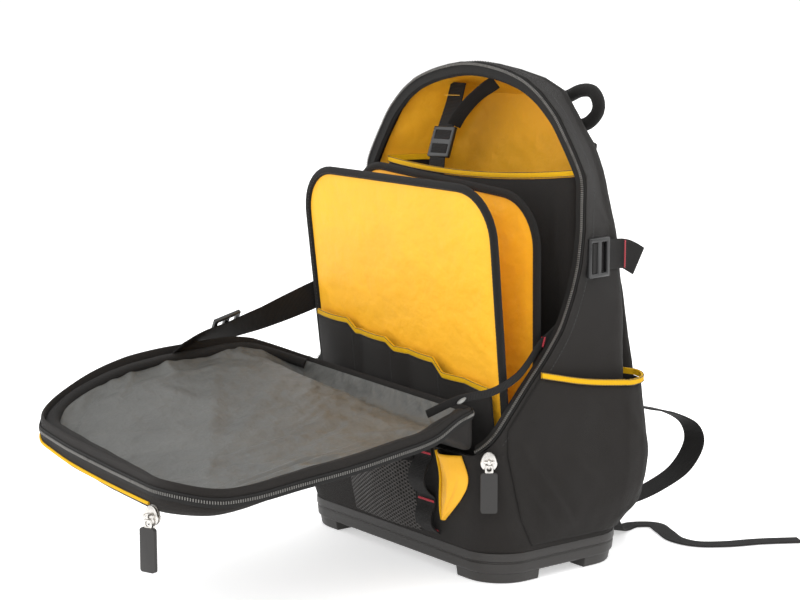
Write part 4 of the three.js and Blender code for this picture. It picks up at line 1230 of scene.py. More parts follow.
    def upper_lining(self) -> None:
        """Yellow lining of the side walls and the roof over the rear pocket."""
        low, crown, inset = 376.0, 0.8 * S.body_top, S.wall + 0.5
        rows = []
        for z in np.concatenate([np.linspace(low, 0.94 * S.body_top, 26),
                np.linspace(0.945, 0.99, 9) * S.body_top]):
            line = half_line(z, inset)
            cut = S.opening_plane + 9
            k = int(np.argmax(line[:, 1] > cut))
            x = np.interp(cut, line[k - 1:k + 1, 1], line[k - 1:k + 1, 0])
            half = spaced(np.concatenate([[(x, cut)], line[k:]]), 26)
            full = np.concatenate([half, half[-2::-1] * (-1, 1)])
            drop = (S.wall + 0.6) * max(z - crown, 0) / (S.body_top - crown)
            rows.append(np.concatenate([full, np.full((len(full), 1), z - drop)], axis=1))
        rows = row(rows)
        rows = rows - normals(rows) * (np.abs(cloud(rows, 30.0, 6.0)) * 1.6)[..., None]
        sheet = cloth("upper_lining_cloth", rows, -0.8, round_edge=False)
        dressed(sheet, KIT.panel, "divider_cloth")

    def build(self) -> None:
        """Builds and dresses the body."""
        self.walls()
        self.upper_lining()
        self.zip_round(EdgeRun())
        self.lining()


@dataclass
class Divider:
    """Padded board with a rolled binding, leaning from its foot line."""

    name: str
    width: float
    high: float
    lean: float
    fall: float
    reach: float
    low: float = 14.9
    thick: float = 6.0
    rolled: float = 8.0
    corner: float = 52.0

    def placed(self, points: Points) -> Points:
        """Leans and shears points of the upright board into place."""
        p = np.array(points, float)
        share = np.maximum(p[..., 2] - self.low, 0) / (self.high - self.low)
        p[..., 2] -= p[..., 0] * self.fall * share
        turn = math.radians(self.lean)
        y, z = p[..., 1].copy(), p[..., 2] - self.low
        p[..., 1] = y * math.cos(turn) - z * math.sin(turn) + self.reach
        p[..., 2] = y * math.sin(turn) + z * math.cos(turn) + self.low
        return p

    def half(self, z: Points) -> Points:
        """Half width of the board at a height."""
        w = self.width / 2
        side = w - 5 + 5 * np.clip((z - self.low) / (self.high - self.corner - self.low), 0, 1)
        over = np.clip((z - (self.high - self.corner)) / self.corner, 0, 1)
        return np.where(z > self.high - self.corner, w - self.corner + self.corner * np.sqrt(1 - over ** 2),
            side)

    def board(self) -> None:
        """Two faces of soft cloth over the padding, closed at the edge."""
        u, v = shares(44, 60)
        margin = self.rolled - 1.0
        top = self.high - margin
        turned = 0.85
        over = turned + (1 - turned) * np.sin((v - turned) / (1 - turned) * math.pi / 2)
        z = self.low + (top - self.low) * np.where(v > turned, over, v)
        half = np.maximum(self.half(np.minimum(z + margin * 0.6, self.high)) - margin, 6)
        x = (u - 0.5) * 2 * half
        base = np.stack([x, np.zeros_like(x), z], axis=-1)
        rise = (np.sin(math.pi * u) ** 0.35) * (np.clip(np.sin(math.pi * np.clip(v, 0.02, 0.98)), 0,
            1) ** 0.35)
        wave = cloud(base * (1, 1, 0.35), 42.0, 4.0) * 0.9
        faces = []
        for side in (-1, 1):
            p = base.copy()
            p[..., 1] = side * (0.6 + (self.thick / 2 - 0.8) * rise + wave * rise * 0.6)
            faces.append(self.placed(p))
        front, back = faces
        rows = np.concatenate([front, back[:, ::-1]], axis=1)
        obj = lattice(self.name + "_board", rows[:, ::-1], ring=True, capped=True)
        dressed(obj, KIT.panel, "divider_cloth", self.name)

    def rim(self, inset: float) -> Points:
        """The board's outline from one foot over the top to the other."""
        w, top, r = self.width / 2 - inset, self.high - inset, self.corner - inset
        turn = np.radians(np.linspace(0, 90, 12))
        right = [(w - 5, 0, self.low), (w, 0, top - r)]
        right += [(w - r + r * math.cos(t), 0, top - r + r * math.sin(t)) for t in turn[1:]]
        left = [(-x, y, z) for x, y, z in right[::-1]]
        return self.placed(spaced(row(right + left), 130))

    def binding(self) -> None:
        """Rolled binding with a row of stitches on its front face."""
        line = self.rim(self.rolled / 2)
        facing = self.placed(row([(0, -1, 200), (0, 0, 200)]))
        out = unit(facing[0] - facing[1])
        inner = np.cross(tangents(line), out)
        centre = self.placed(row([(0, 0, (self.low + self.high) / 2)]))[0]
        inner *= np.sign((inner * (centre - line)).sum(axis=1, keepdims=True))
        path = line - np.cross(unit(inner), tangents(line)) * self.rolled * 0.5
        obj = band(self.name + "_roll", path, inner, self.rolled + 0.6, self.rolled - 0.4, oval(16),
            ripple=0.2)
        dressed(obj, KIT.binding, "body_cloth", self.name + "_binding")
        seam = self.rim(self.rolled * 0.78) + out * (self.rolled * 0.42)
        dressed(stitches(self.name + "_stitches", seam, out, 4.0, 2.6, 0.6), KIT.black_thread, "body_cloth")

    def build(self) -> None:
        """Builds and dresses the divider."""
        self.board()
        self.binding()


def trimmed(name: str, top: Points, up: Points, out: Points, high: float, thick: float, node: str) -> None:
    """Yellow tape over a pocket's edge with black stitches along both its borders.

    Args:
        name: The piece's name.
        top: Points of the tape's lower border.
        up: The way its height runs.
        out: The way its face looks.
        high: Height of the tape.
        thick: Its thickness.
        node: The CAD node that it stands for.
    """
    up, out = np.broadcast_to(row(up), top.shape), unit(np.broadcast_to(row(out), top.shape))
    section = row([(0, 0), (0, 1), (0.06, 1.12), (0.5, 1.2), (0.94, 1.12), (1, 1), (1.03, 0.5), (1, 0)])
    rows = top[:, None] + up[:, None] * (section[None, :, :1] * high) + out[:,
        None] * ((section[None, :, 1:] - 0.5) * thick)
    obj = lattice(name, rows, ring=True, capped=True)
    dressed(obj, KIT.trim, "bright_trim", node)
    for k, share in enumerate((0.06, 0.97)):
        line = top + up * high * share + out * thick * 0.62
        made = stitches(f"{name}_stitches_{k}", line, out, 1.9, 1.5, 1.0)
        dressed(made, KIT.black_thread, "bright_trim")


@dataclass
class RearPocket:
    """Black pocket across the back with a sagging yellow edge."""

    top: float = 403.0
    sag: float = 11.0
    half: float = 151.0
    trim: float = 6.0

    def face(self, u: Points, v: Points, high: float) -> Points:
        """Points of the pocket's face for shares across and up."""
        x = (u - 0.5) * 2
        turned = np.maximum(0, np.abs(x) - 0.86) / 0.14
        across = np.sign(x) * (self.half * np.minimum(np.abs(x) / 0.86, 1) + 9 * turned)
        low = S.base_height + 6
        z = low + (high - self.sag * (1 - np.minimum(x * x, 1)) - low) * v
        y = 22 - 9 * (1 - np.minimum(1, x * x)) * v + 44 * turned * turned
        room = row([half_at(b, c) for b, c in zip(y.ravel(), z.ravel())]).reshape(y.shape)
        room = room - S.wall - np.interp(z, [0.7 * S.body_top, 0.8 * S.body_top], [4, 9.5])
        return np.stack([np.clip(across, -room, room), y, z], axis=-1)

    def build(self) -> None:
        """Builds and dresses the pocket."""
        u, v = shares(56, 26)
        rows = self.face(u, v, self.top - self.trim - 0.3)
        n = normals(rows)
        calm = np.clip((1 - v) * 8, 0, 1) * np.clip(v * 6, 0, 1)
        folds = cloud(rows, 55.0, 6.0) * 2.2 + crease(u, v, (0.84, 1.0), (0.9, 0.4), 0.008, -1.6)
        rows = rows + n * (np.clip(folds, -2.0, 1.4) * calm)[..., None]
        obj = cloth("rear_pocket_cloth", rows, 1.2)
        dressed(obj, KIT.cloth, "body_cloth", "rear_pocket_panel")
        declared(obj, rows)
        share = np.linspace(0, 1, 80)
        edge = self.face(share, np.ones(80), self.top - self.trim + 0.9) + (0, -0.3, 0)
        out = unit(np.cross(tangents(edge), (0, 0, 1)))
        trimmed("rear_pocket_tape", edge, (0, 0, 1), out, self.trim, 2.4, "rear_pocket_trim")


@dataclass
class FrontDivider(Divider):
    """Divider with a bowed row of tool pockets, bound in steps."""

    steps: tuple = ((0, 232), (0.22, 232), (0.26, 222), (0.46, 222), (0.5, 214), (0.72, 212), (0.76, 198),
        (1, 192))

    def pocket(self, u: Points, v: Points, high: float) -> Points:
        """Points of the pockets' face before the board leans."""
        x = (u - 0.5) * (self.width - 2 * self.rolled - 8)
        top = np.interp(u, [s[0] for s in self.steps], [s[1] for s in self.steps])
        z = self.low + 12 + (top + high - self.low - 12) * v
        ripple = 5 * np.abs(np.sin(u * math.pi * 3.5))
        bow = (1.5 + ripple + 6 * np.sin(math.pi * u)) * np.minimum(1, 0.25 + v)
        return np.stack([x, -self.thick / 2 - 0.8 - bow, z], axis=-1)

    def build(self) -> None:
        """Builds and dresses the divider and its pockets."""
        super().build()
        u, v = shares(70, 24)
        flat = self.pocket(u, v, 0)
        flat[..., 1] -= np.clip(cloud(flat, 34.0, 9.0) * 1.3, -0.5, 1.2) * np.sin(math.pi * v)
        rows = self.placed(flat)
        obj = cloth("divider_pocket_cloth", rows, 1.2)
        dressed(obj, KIT.cloth, "body_cloth", "front_divider_pockets")
        declared(obj, rows)
        share = np.linspace(0, 1, 150)
        edge = self.placed(self.pocket(share, np.ones(150), 0.3) + (0, -0.2, 0))
        out = unit(np.cross(tangents(edge), (0, 0, 1)))
        trimmed("divider_pocket_tape", edge, (0, -0.1, 1), out, 6.0, 2.4, "front_divider_pocket_trim")
        for k, mark in enumerate((0.24, 0.48, 0.74)):
            line = self.placed(self.pocket(np.full(30, mark), np.linspace(0.05, 0.97, 30), 0)) + (0, -1.6, 0)
            dressed(stitches(f"pocket_seam_{k}", line, (0, -1, 0.1), 3.6, 2.4, 0.7), KIT.black_thread,
                "body_cloth")


@dataclass
class RearDivider(Divider):
    """Divider with two runs of webbing loops sewn down its front."""

    loops: tuple = (-118.0, 62.0)
    loop_top: float = 378.0

    def build(self) -> None:
        """Builds and dresses the divider and its loops."""
        super().build()
        for k, x in enumerate(self.loops):
            route, seams = [], []
            for i in range(13):
                z = self.loop_top - i * 11
                at = (x, -self.thick / 2 - 0.7 - (0 if i % 3 == 0 else 7), z - 5)
                route.append(at)
                if i % 3 == 0:
                    seams.append(at)
            line = self.placed(curve(route, 110))
            obj = band(f"tool_loop_web_{k + 1}", line, (-1, 0, 0), 16, 1.5)
            dressed(obj, KIT.web, "webbing", f"tool_loop_{k + 1}")
            spots = self.placed(row(seams)) + (0, -1.9, 0)
            bars = np.concatenate([spaced(row([s + row((-6, 0, d)), s + row((6, 0, d))]), 9) for s in spots
                for d in (-0.8, 0.8)])
            made = copied(stitch_shape(2.2, 0.8), f"tool_loop_tacks_{k + 1}", bars, (0.6, 0, 1), (0, -1, 0),
                (1, 0, -0.6))
            dressed(made, KIT.red_thread, "webbing")


def front_face(z: Points | float) -> Points:
    """Reach of the front wall's face at a height."""
    return np.interp(z, SECTIONS[:, 0] * S.body_top, SECTIONS[:, 3] * S.back_reach) - 0.3


@dataclass
class FrontWall:
    """Net pocket, hammer loops and lined knife slot on the low front wall."""

    loop_route: tuple = ((128, 1), (119, 1), (108, 9), (96, 13), (86, 9), (78, 1), (70, 1), (60, 8), (50, 9),
        (40, 1))

    @staticmethod
    def panel(u: Points, v: Points, x0: float, x1: float, z0: float, z1: float, bulge: float) -> Points:
        """Points of a bulging panel on the wall."""
        z = z0 + (z1 - z0) * v
        stand = 0.6 + bulge * np.sin(math.pi * u) * (0.25 + 0.75 * v)
        return np.stack([x0 + (x1 - x0) * u, front_face(z) - stand, z], axis=-1)

    def net_pocket(self) -> None:
        """Net pocket with a bound top."""
        u, v = shares(40, 26)
        rows = self.panel(u, v, -58, 54, 36, 112, 13)
        rows[..., 1] -= np.clip(cloud(rows, 22.0, 2.0), 0, 1) * 1.6
        obj = lattice("net_pocket", rows)
        dressed(obj, KIT.net, "mesh", "front_mesh_pocket")
        declared(obj, rows)
        share = np.linspace(0, 1, 60)
        edge = self.panel(share, np.ones(60), -58, 54, 36, 116, 13) - (0, 0, 6)
        made = band("net_pocket_binding", edge + (0, -0.2, 3), (0, 0, 1), 8, 1.8)
        dressed(made, KIT.binding, "body_cloth")

    def knife_slot(self) -> None:
        """Yellow lined slot with a bright piping down its near edge."""
        u, v = shares(24, 26)
        rows = self.panel(u, v, 96, 136, 58, 129, 10)
        full = ease(((0, 0.05), (0.18, 0.4), (0.42, 0.78), (0.7, 1.0), (1, 0.9)), v)
        start = ease(((0, 0), (0.3, 1), (0.7, 4), (1, 0)), v)
        rows[..., 0] = 96 + start + (rows[..., 0] - 96) * full
        rows[..., 1] -= crease(u, v, (0.4, 0.95), (0.55, 0.3), 0.07, 1.5) - crease(u, v, (0.75, 0.9),
            (0.6, 0.2), 0.06, 1.2)
        obj = cloth("knife_slot_cloth", rows, 1.2)
        dressed(obj, KIT.panel, "bright_trim", "knife_slot")
        declared(obj, rows)
        edge = rows[:, 0] + (-0.6, -1.2, 0)
        dressed(band("knife_slot_piping", edge, (1, 0, 0), 2.6, 2.4, oval(8)), KIT.trim, "bright_trim")

    def hammer_loops(self) -> None:
        """Webbing loops with crimson bar tacks."""
        route = [(74, front_face(z) - stand, z) for z, stand in self.loop_route]
        line = curve(route, 120)
        obj = band("hammer_loop_web", line, (-1, 0, 0), 26, 1.6)
        dressed(obj, KIT.web, "webbing", "hammer_loops")
        spots = [(74, float(front_face(z)) - 3.4, z) for z in (123, 74, 43)]
        tacks("hammer_loop_tacks", spots, (1, 0, 0), (0, -1, 0), 24)

    def build(self) -> None:
        """Builds and dresses the front wall's pieces."""
        self.net_pocket()
        self.knife_slot()
        self.hammer_loops()


def tacks(name: str, spots: Sequence, along: Sequence[float], out: Sequence[float], long: float) -> None:
    """Crimson bar tacks: close zigzag stitches across a strap.

    Args:
        name: The piece's name.
        spots: Middles of the tacks, in millimetres.
        along: The way a tack runs.
        out: The way its face looks.
        long: Its length.
    """
    along, out = unit(row(along)), unit(row(out))
    across = np.cross(out, along)
    share = np.linspace(-0.5, 0.5, int(long / 0.9))
    places = np.concatenate([row(s) + share[:, None] * long * along for s in spots])
    lean = np.where(np.arange(len(places)) % 2 == 0, 0.35, -0.35)[:, None]
    run = unit(across + lean * along)
    made = copied(stitch_shape(3.0, 0.8), name, places, run, unit(np.cross(out, run)), out)
    dressed(made, KIT.red_thread, "webbing")


def slide_frame(name: str, wide: float) -> Piece:
    """A three-bar slide, modelled from a block: two slots cut and edges rounded.

    Args:
        name: The piece's name.
        wide: Width of its webbing.

    Returns:
        The slide round the origin, the strap running along x and its face at -y.
    """
    clear_selection()
    bpy.ops.mesh.primitive_cube_add(size=1, location=(0, 2.25 * MM, 0))
    obj = bpy.context.object
    obj.name = name
    obj.scale = (34 * MM, 4.5 * MM, (wide + 9) * MM)
    settle()
    for k, x in enumerate((-7.75, 7.75)):
        clear_selection()
        bpy.ops.mesh.primitive_cube_add(size=1, location=(x * MM, 2.25 * MM, 0))
        cutter = bpy.context.object
        cutter.scale = (9.5 * MM, 12 * MM, (wide + 0.6) * MM)
        settle()
        carved(obj, cutter)
    return rounded(obj, 1.1, 40, 3)


def set_slide(name: str, wide: float, at: Sequence[float], along: Sequence[float], out: Sequence[float],
              node: str, mirror: bool = False) -> None:
    """Models a slide and sets it on its strap.

    Args:
        name: The piece's name.
        wide: Width of its webbing.
        at: Its middle, in millimetres.
        along: The way the strap runs.
        out: The way its face looks.
        node: The CAD node that it stands for.
        mirror: Whether it goes to the other side of the body.
    """
    obj = slide_frame(name, wide)
    x = unit(row(along))
    y = -row(out)
    y = unit(y - x * y.dot(x))
    turn = np.stack([x, y, np.cross(x, y)], axis=0)
    points = points_of(obj) / MM @ turn + row(at)
    if mirror:
        points *= (-1, 1, 1)
    obj.data.vertices.foreach_set("co", ((points - (0, 0, S.foot)) * MM).ravel())
    if mirror:
        obj.data.flip_normals()
    obj.data.update()
    dressed(smooth(obj, 40), KIT.slide, "slide_plastic", node)


@dataclass
class SidePocket:
    """Side pocket, its yellow edge, and the compression strap above it."""

    side: str
    sign: int
    low: float = 37.0
    trim: float = 6.0
    tops: tuple = ((0, 209), (0.1, 205), (0.25, 199), (0.4, 194.5), (0.6, 191), (0.8, 192), (1, 196))
    bulge: tuple = ((0, 0), (0.08, 3), (0.25, 9), (0.45, 14), (0.65, 21), (0.82, 27), (0.93, 20), (1, 0.5))
    fill: tuple = ((0, 0.12), (0.15, 0.6), (0.4, 1), (0.75, 0.85), (1, 0.62))
    strap_high: float = 316.0

    @staticmethod
    def body_point(z: float, share: float) -> tuple[Points, Points]:
        """A point of the body's side and its outward normal.

        Args:
            z: Height.
            share: From the front corner, 0, to past the back corner, 1.

        Returns:
            The point and the normal.
        """
        line = half_line(z)
        near, far = line[8, 1], line[25, 1]
        seam = max(float(opening_at(z)), near) + 6
        start = 5 + 5 * (seam - near) / (far - near)
        place = start + (13.6 - start) * share
        index = 8 + (place - 5) * 3.4 if place < 10 else 25 + (place - 10) * 2
        k = min(int(index), len(line) - 2)
        at = line[k] + (line[k + 1] - line[k]) * (index - k)
        ahead, behind = line[min(k + 2, len(line) - 1)], line[max(k - 1, 0)]
        way = unit(ahead - behind)
        return row((at[0], at[1], z)), row((way[1], -way[0], 0))

    def face(self, u: Points, v: Points, top: float) -> Points:
        """Points of the pocket's face for shares along and up."""
        out = np.zeros((*u.shape, 3))
        for place in np.ndindex(u.shape):
            z = self.low + (ease(self.tops, u[place]) + top - self.low) * v[place]
            at, n = self.body_point(z, u[place])
            out[place] = at + n * (0.95 + ease(self.bulge, u[place]) * ease(self.fill, v[place]))
        return out

    def pocket(self) -> None:
        """Pocket cloth with gathers at its foot and long slanting folds."""
        u, v = shares(60, 44)
        rows = self.face(u, v, -self.trim - 0.3)
        for _ in range(2):
            rows[1:-1, 1:-1] = (rows[:-2, 1:-1] + rows[2:, 1:-1] + rows[1:-1, :-2] + rows[1:-1, 2:] + 2
                * rows[1:-1, 1:-1]) / 6
        n = normals(rows)
        n *= np.sign((n * (1, 0.4, 0)).sum(axis=-1, keepdims=True))
        calm = np.clip((1 - v) * 10, 0, 1) * np.clip(v * 8, 0, 1) * np.clip(u * 12, 0,
            1) * np.clip((1 - u) * 12, 0, 1)
        folds = (crease(u, v, (0.06, 0.62), (0.3, 0.1), 0.03, 2.6)
            + crease(u, v, (0.04, 0.4), (0.2, 0.05), 0.022, 2.0)
                 + crease(u, v, (0.3, 0.55), (0.48, 0.3), 0.03, 1.3)
                 - crease(u, v, (0.12, 0.55), (0.36, 0.06), 0.025, 1.8)
                 + crease(u, v, (0.97, 0.5), (0.78, 0.12), 0.03, 2.2)
                 + crease(u, v, (0.9, 0.25), (0.6, 0.05), 0.03, 2.0)
                 + crease(u, v, (0.62, 0.85), (0.8, 0.5), 0.04, 1.2))
        gather = np.sin(u * 60 + 3 * v) * 0.8 * np.exp(-((v / 0.12) ** 2))
        lumps = cloud(rows, 48.0, 1.0) * 1.6 + cloud(rows, 17.0, 4.0) * 0.5
        rows = rows + n * (np.clip(folds + gather + lumps, -0.7, 4) * calm)[..., None]
        rows[..., 0] *= self.sign
        obj = cloth(f"side_pocket_cloth_{self.side}", rows[:, ::-self.sign], 1.3)
        dressed(obj, KIT.cloth, "body_cloth", f"side_pocket_{self.side}")
        declared(obj, rows)
        share = np.linspace(0, 1, 90)
        edge = self.face(share, np.ones(90), -self.trim + 0.1) * (self.sign, 1, 1)
        out = unit(np.cross(tangents(edge), (0, 0, 1))) * self.sign
        edge = edge + out * 1.1
        edge, out = (edge, out) if self.sign > 0 else (edge[::-1], out[::-1])
        trimmed(f"side_pocket_tape_{self.side}", edge, (0, 0, 1), out, self.trim, 2.2,
            f"side_pocket_trim_{self.side}")

    def strap(self) -> None:
        """Compression strap with a folded, slanting end and a crimson tack."""
        z = self.strap_high

        def side_at(y: float) -> float:
            """Reach of the strap's face from the middle."""
            return half_at(min(y, 70), z) + 5

        route = row([(side_at(20), 20, z), (side_at(45), 45, z), (side_at(64), 64, z),
                     (side_at(70) - 3, 88, z - 2), (side_at(70) - 1, 104, z - 10)])
        line = curve(route, 60) * (self.sign, 1, 1)
        obj = band(f"compression_web_{self.side}", line, (0, 0, self.sign), 30, 1.5)
        dressed(obj, KIT.web, "webbing", f"compression_strap_{self.side}")
        spot = curve(route, 60)[44] + (2.6, 0, 0)
        tacks(f"compression_tack_{self.side}", [spot * (self.sign, 1, 1)], (0, 0, 1), (self.sign, 0.2, 0), 27)
        set_slide(f"compression_slide_frame_{self.side}", 30, (side_at(32) + 2.1, 32, z), (0.2, -1, 0),
            (1, 0.2, 0),
                  f"compression_slide_{self.side}", self.sign < 0)

    def build(self) -> None:
        """Builds and dresses the side's pieces."""
        self.pocket()
        self.strap()


@dataclass
class Flap:
    """Front flap folded out: padded shell, loose lining, binding, zip and piping."""

    near: float = -99.0
    far: float = -437.0
    stand: float = 8.0
    rim_right: tuple = ((0, 176), (0.08, 178), (0.2, 163), (0.34, 155), (0.47, 149), (0.64, 144),
        (0.79, 139.5), (0.9, 140.5), (1, 147))
    rim_left: tuple = ((0, 190), (0.08, 197), (0.23, 207), (0.38, 206), (0.53, 203), (0.63, 198), (0.73, 188),
        (0.84, 171), (1, 150))
    deep: tuple = ((0, 1), (0.6, 0.8), (0.8, 0.93), (0.92, 1.25), (1, 1.6))

    def share(self, y: Points) -> Points:
        """How far along the flap a reach lies, from 0 to 1."""
        return np.clip((self.near - y) / (self.near - self.far), 0, 1)

    def rim(self, p: Points) -> Points:
        """Height of the rim over points in plan."""
        return self.zip_height(p) + self.stand * np.clip(self.share(p[..., 1]) * 6, 0, 1)

    def zip_height(self, p: Points) -> Points:
        """Height of the flap's zip over points in plan."""
        s, side = self.share(p[..., 1]), np.clip(p[..., 0] / S.flap_width + 0.5, 0, 1)
        return ease(self.rim_left, s) * (1 - side) + ease(self.rim_right, s) * side

    def under(self, p: Points) -> Points:
        """Height of the flap's outer face, which looks down."""
        s, side = self.share(p[..., 1]), np.clip(p[..., 0] / S.flap_width + 0.5, 0, 1)
        sag = 9 * np.sin(math.pi * side) * ease(((0, 0), (0.3, 0.4), (0.6, 1), (0.9, 0.7), (1, 0.2)), s)
        body = self.zip_height(p) - S.flap_depth * ease(self.deep, s) - sag
        hinge = np.interp(s, [0, 0.05, 0.16], [1, 0.75, 0])
        return body * (1 - hinge) + (S.zip_low + 0.45) * hinge

    def outline(self, count: int = 240) -> Points:
        """Plan of the rim from the hinge on the right round to the left."""
        w, c, near, far = S.flap_width / 2, S.flap_corner, self.near, self.far
        turn = np.radians(np.linspace(0, 90, 14))
        right = [(w - 30, near), (w - 17, near - 9),
            (w - 5, near - 26)] + [(w, near - s * S.flap_reach) for s in (0.2, 0.34, 0.5, 0.66)]
        right += [(w - c + c * math.cos(t), far + c - c * math.sin(t)) for t in turn]
        front = [((s - 0.5) * 2 * (w - c), far + 12 * (1 - s)) for s in (0.75, 0.5, 0.25)]
        left = [(-(w - c + c * math.cos(t)), far + 14 + c - c * math.sin(t)) for t in turn[::-1]]
        left += [(-w, near - s * S.flap_reach) for s in (0.66, 0.5, 0.34, 0.2)]
        left += [(-w + 5, near - 26), (-w + 17, near - 9), (-w + 30, near)]
        line = spaced(row(right + front + left), count)
        for _ in range(4):
            line[1:-1] = (line[:-2] + 2 * line[1:-1] + line[2:]) / 4
        return line

    @property
    def middle(self) -> Points:
        """Middle of the flap in plan."""
        return row((0, (self.near + self.far) / 2))

    def ring(self, outline: Points, inset: float, share: float = 1.0) -> Points:
        """The outline drawn towards the middle by a distance, then by a share."""
        away = outline - self.middle
        length = np.linalg.norm(away, axis=-1, keepdims=True)
        return self.middle + away / length * np.maximum(length - inset * 1.12, 1) * share

    def closed_outline(self) -> Points:
        """The outline with its hinge edge."""
        open_ = self.outline()
        across = np.linspace(open_[-1], open_[0], 26)[1:-1]
        return np.concatenate([open_, across])

    def shell(self) -> None:
        """Padded shell: outer face, rim and inner wall."""
        outline = self.closed_outline()
        levels = []
        for share in (0.04, 0.2, 0.4, 0.6, 0.78):
            levels.append((20, share, "under", 0.0))
        levels += [(20, 1, "under", 0), (13, 1, "under", 0.2), (6, 1, "under", 0.8), (2.4, 1, "under", 2.8),
            (0.6, 1, "under", 5.5),
                   (0, 1, "under", 9), (0, 1, "rim", 3 + 0.5 * self.stand), (0, 1, "rim", 3),
                   (0.3, 1, "rim", 1), (1.2, 1, "rim", 0.2), (2.6, 1, "rim", 0.6),
                   (3.4, 1, "rim", 3), (4.4, 1, "under", 6.5), (9, 1, "under", 3.6), (20, 1, "under", 2.6)]
        levels += [(20, share, "under", 2.6) for share in (0.78, 0.5, 0.2, 0.04)]
        rows = []
        for inset, share, kind, lift in levels:
            plan = self.ring(outline, inset, share)
            z = self.under(plan) + lift if kind == "under" else self.rim(plan) - lift
            if kind == "under" and lift == 9:
                z = np.minimum(z, self.rim(plan) - 4)
            rows.append(np.concatenate([plan, z[:, None]], axis=1))
        rows = row(rows)
        lumps = cloud(rows, 46.0, 7.0) * 1.1 + cloud(rows, 18.0, 2.0) * 0.35
        lumps[len(levels) - 8:] = 0
        lumps[10:16] *= 0.4
        s = self.share(rows[..., 1])
        lumps *= np.clip((s - 0.03) * 12, 0, 1)
        rows[..., 2] += lumps * 0.8
        obj = lattice("flap_cover", rows, ring=True, capped=True)
        dressed(obj, KIT.cloth, "body_cloth", "flap_shell")

    def edges(self) -> None:
        """Rolled binding, zip tape and coil on the rim, and piping at the far end."""
        plan = self.outline(300)
        at = self.ring(plan, 10.5)
        line = np.concatenate([at, (self.rim(at) - 4.4)[:, None]], axis=1)
        across = unit(np.concatenate([self.middle - at, np.zeros((300, 1))], axis=1))
        roll = band("flap_rim_binding", line, -across, 14.5, 10.5, oval(18), ripple=0.6)
        dressed(roll, KIT.binding, "body_cloth", "flap_binding")
        at = self.ring(plan, -0.2)
        tape_line = np.concatenate([at, (self.zip_height(at) - 4.5)[:, None]], axis=1)
        tape = band("flap_zip_cloth", tape_line, (0, 0, 1), 9.0, 1.0)
        dressed(tape, KIT.tape, "zip_tape", "flap_zip_tape")
        at = self.ring(plan, -1.6)
        coil_line = np.concatenate([at, (self.zip_height(at) - 4.0)[:, None]], axis=1)
        up = np.tile(row((0, 0, 9.0)), (300, 1))
        Shell.coil("flap_zip_coil", spaced(np.concatenate([coil_line, up, -across * 9], axis=1), 420))
        self.piping(plan)

    def piping(self, plan: Points) -> None:
        """Yellow piping round the far end."""
        far = plan[:, 1] < self.far + 92
        part = plan[far & (plan[:, 0] < 115)]
        at = self.ring(part, -0.2)
        line = np.concatenate([at, (self.under(at) + 8.0)[:, None]], axis=1)
        out = unit(np.concatenate([at - self.middle, np.zeros((len(at), 1))], axis=1))
        pipe = band("flap_piping_cord", line - out * 0.6, (0, 0, 1), 3.0, 2.4, oval(10))
        dressed(pipe, KIT.trim, "bright_trim", "flap_piping")

    def lining_rows(self) -> Points:
        """Start of the loose lining: a grid that fits inside the rim."""
        plan = self.outline(400)
        n = 60
        mid_right, mid_left = 178, 400 - 178
        right, left = spaced(plan[:mid_right], n), spaced(plan[mid_left:][::-1], n)
        far, near = spaced(plan[mid_right - 1:mid_left + 1][::-1], n), np.linspace(plan[-1], plan[0], n)
        u, v = (g[..., None] for g in shares(n, n))
        grid = ((1 - v) * near[None] + v * far[None] + (1 - u) * left[:, None] + u * right[:, None]
                - (1 - u) * (1 - v) * near[0] - u * (1 - v) * near[-1] - (1 - u) * v * far[0] - u * v
                * far[-1])
        grid = self.ring(grid.reshape(-1, 2), 0, 0.945).reshape(n, n, 2)
        away = np.minimum(np.minimum(u, 1 - u), np.minimum(v, 1 - v))[..., 0]
        lift = np.interp(away, [0, 0.05, 0.12], [1, 0.35, 0])
        floor = self.under(grid) + 7.5
        z = floor * (1 - lift) + (self.rim(grid) - 6) * lift
        z += (cloud(np.concatenate([grid, grid[..., :1] * 0], axis=2), 60.0, 5.0) * 2.2 + 1.0) * np.clip(away
            * 10, 0, 1)
        return np.concatenate([grid, np.maximum(z, floor - 2)[..., None]], axis=2)

    @staticmethod
    def folds(n: int) -> Points:
        """Sharp creases that stay in the lining, as heights over its grid."""
        u, v = shares(n, n)
        u = 1 - u
        lines = (((0.08, 0.3), (0.72, 0.62), 4.5), ((0.72, 0.62), (0.98, 0.3), 3.5),
            ((0.3, 0.22), (0.7, 0.6), 3.0),
                 ((0.45, 0.95), (0.78, 0.5), -2.6), ((0.15, 0.75), (0.5, 0.55), 2.4),
                 ((0.62, 0.1), (0.8, 0.5), -3.0),
                 ((0.1, 0.5), (0.35, 0.42), 2.4), ((0.2, 0.93), (0.32, 0.7), 2.0),
                 ((0.55, 0.2), (0.92, 0.16), 2.6),
                 ((0.85, 0.85), (0.6, 0.7), 2.2))
        edge = np.minimum(np.minimum(u, 1 - u), np.minimum(v, 1 - v))
        return sum(crease(u, v, a, b, 0.018, high) for a, b, high in lines) * np.clip(edge * 12, 0, 1)

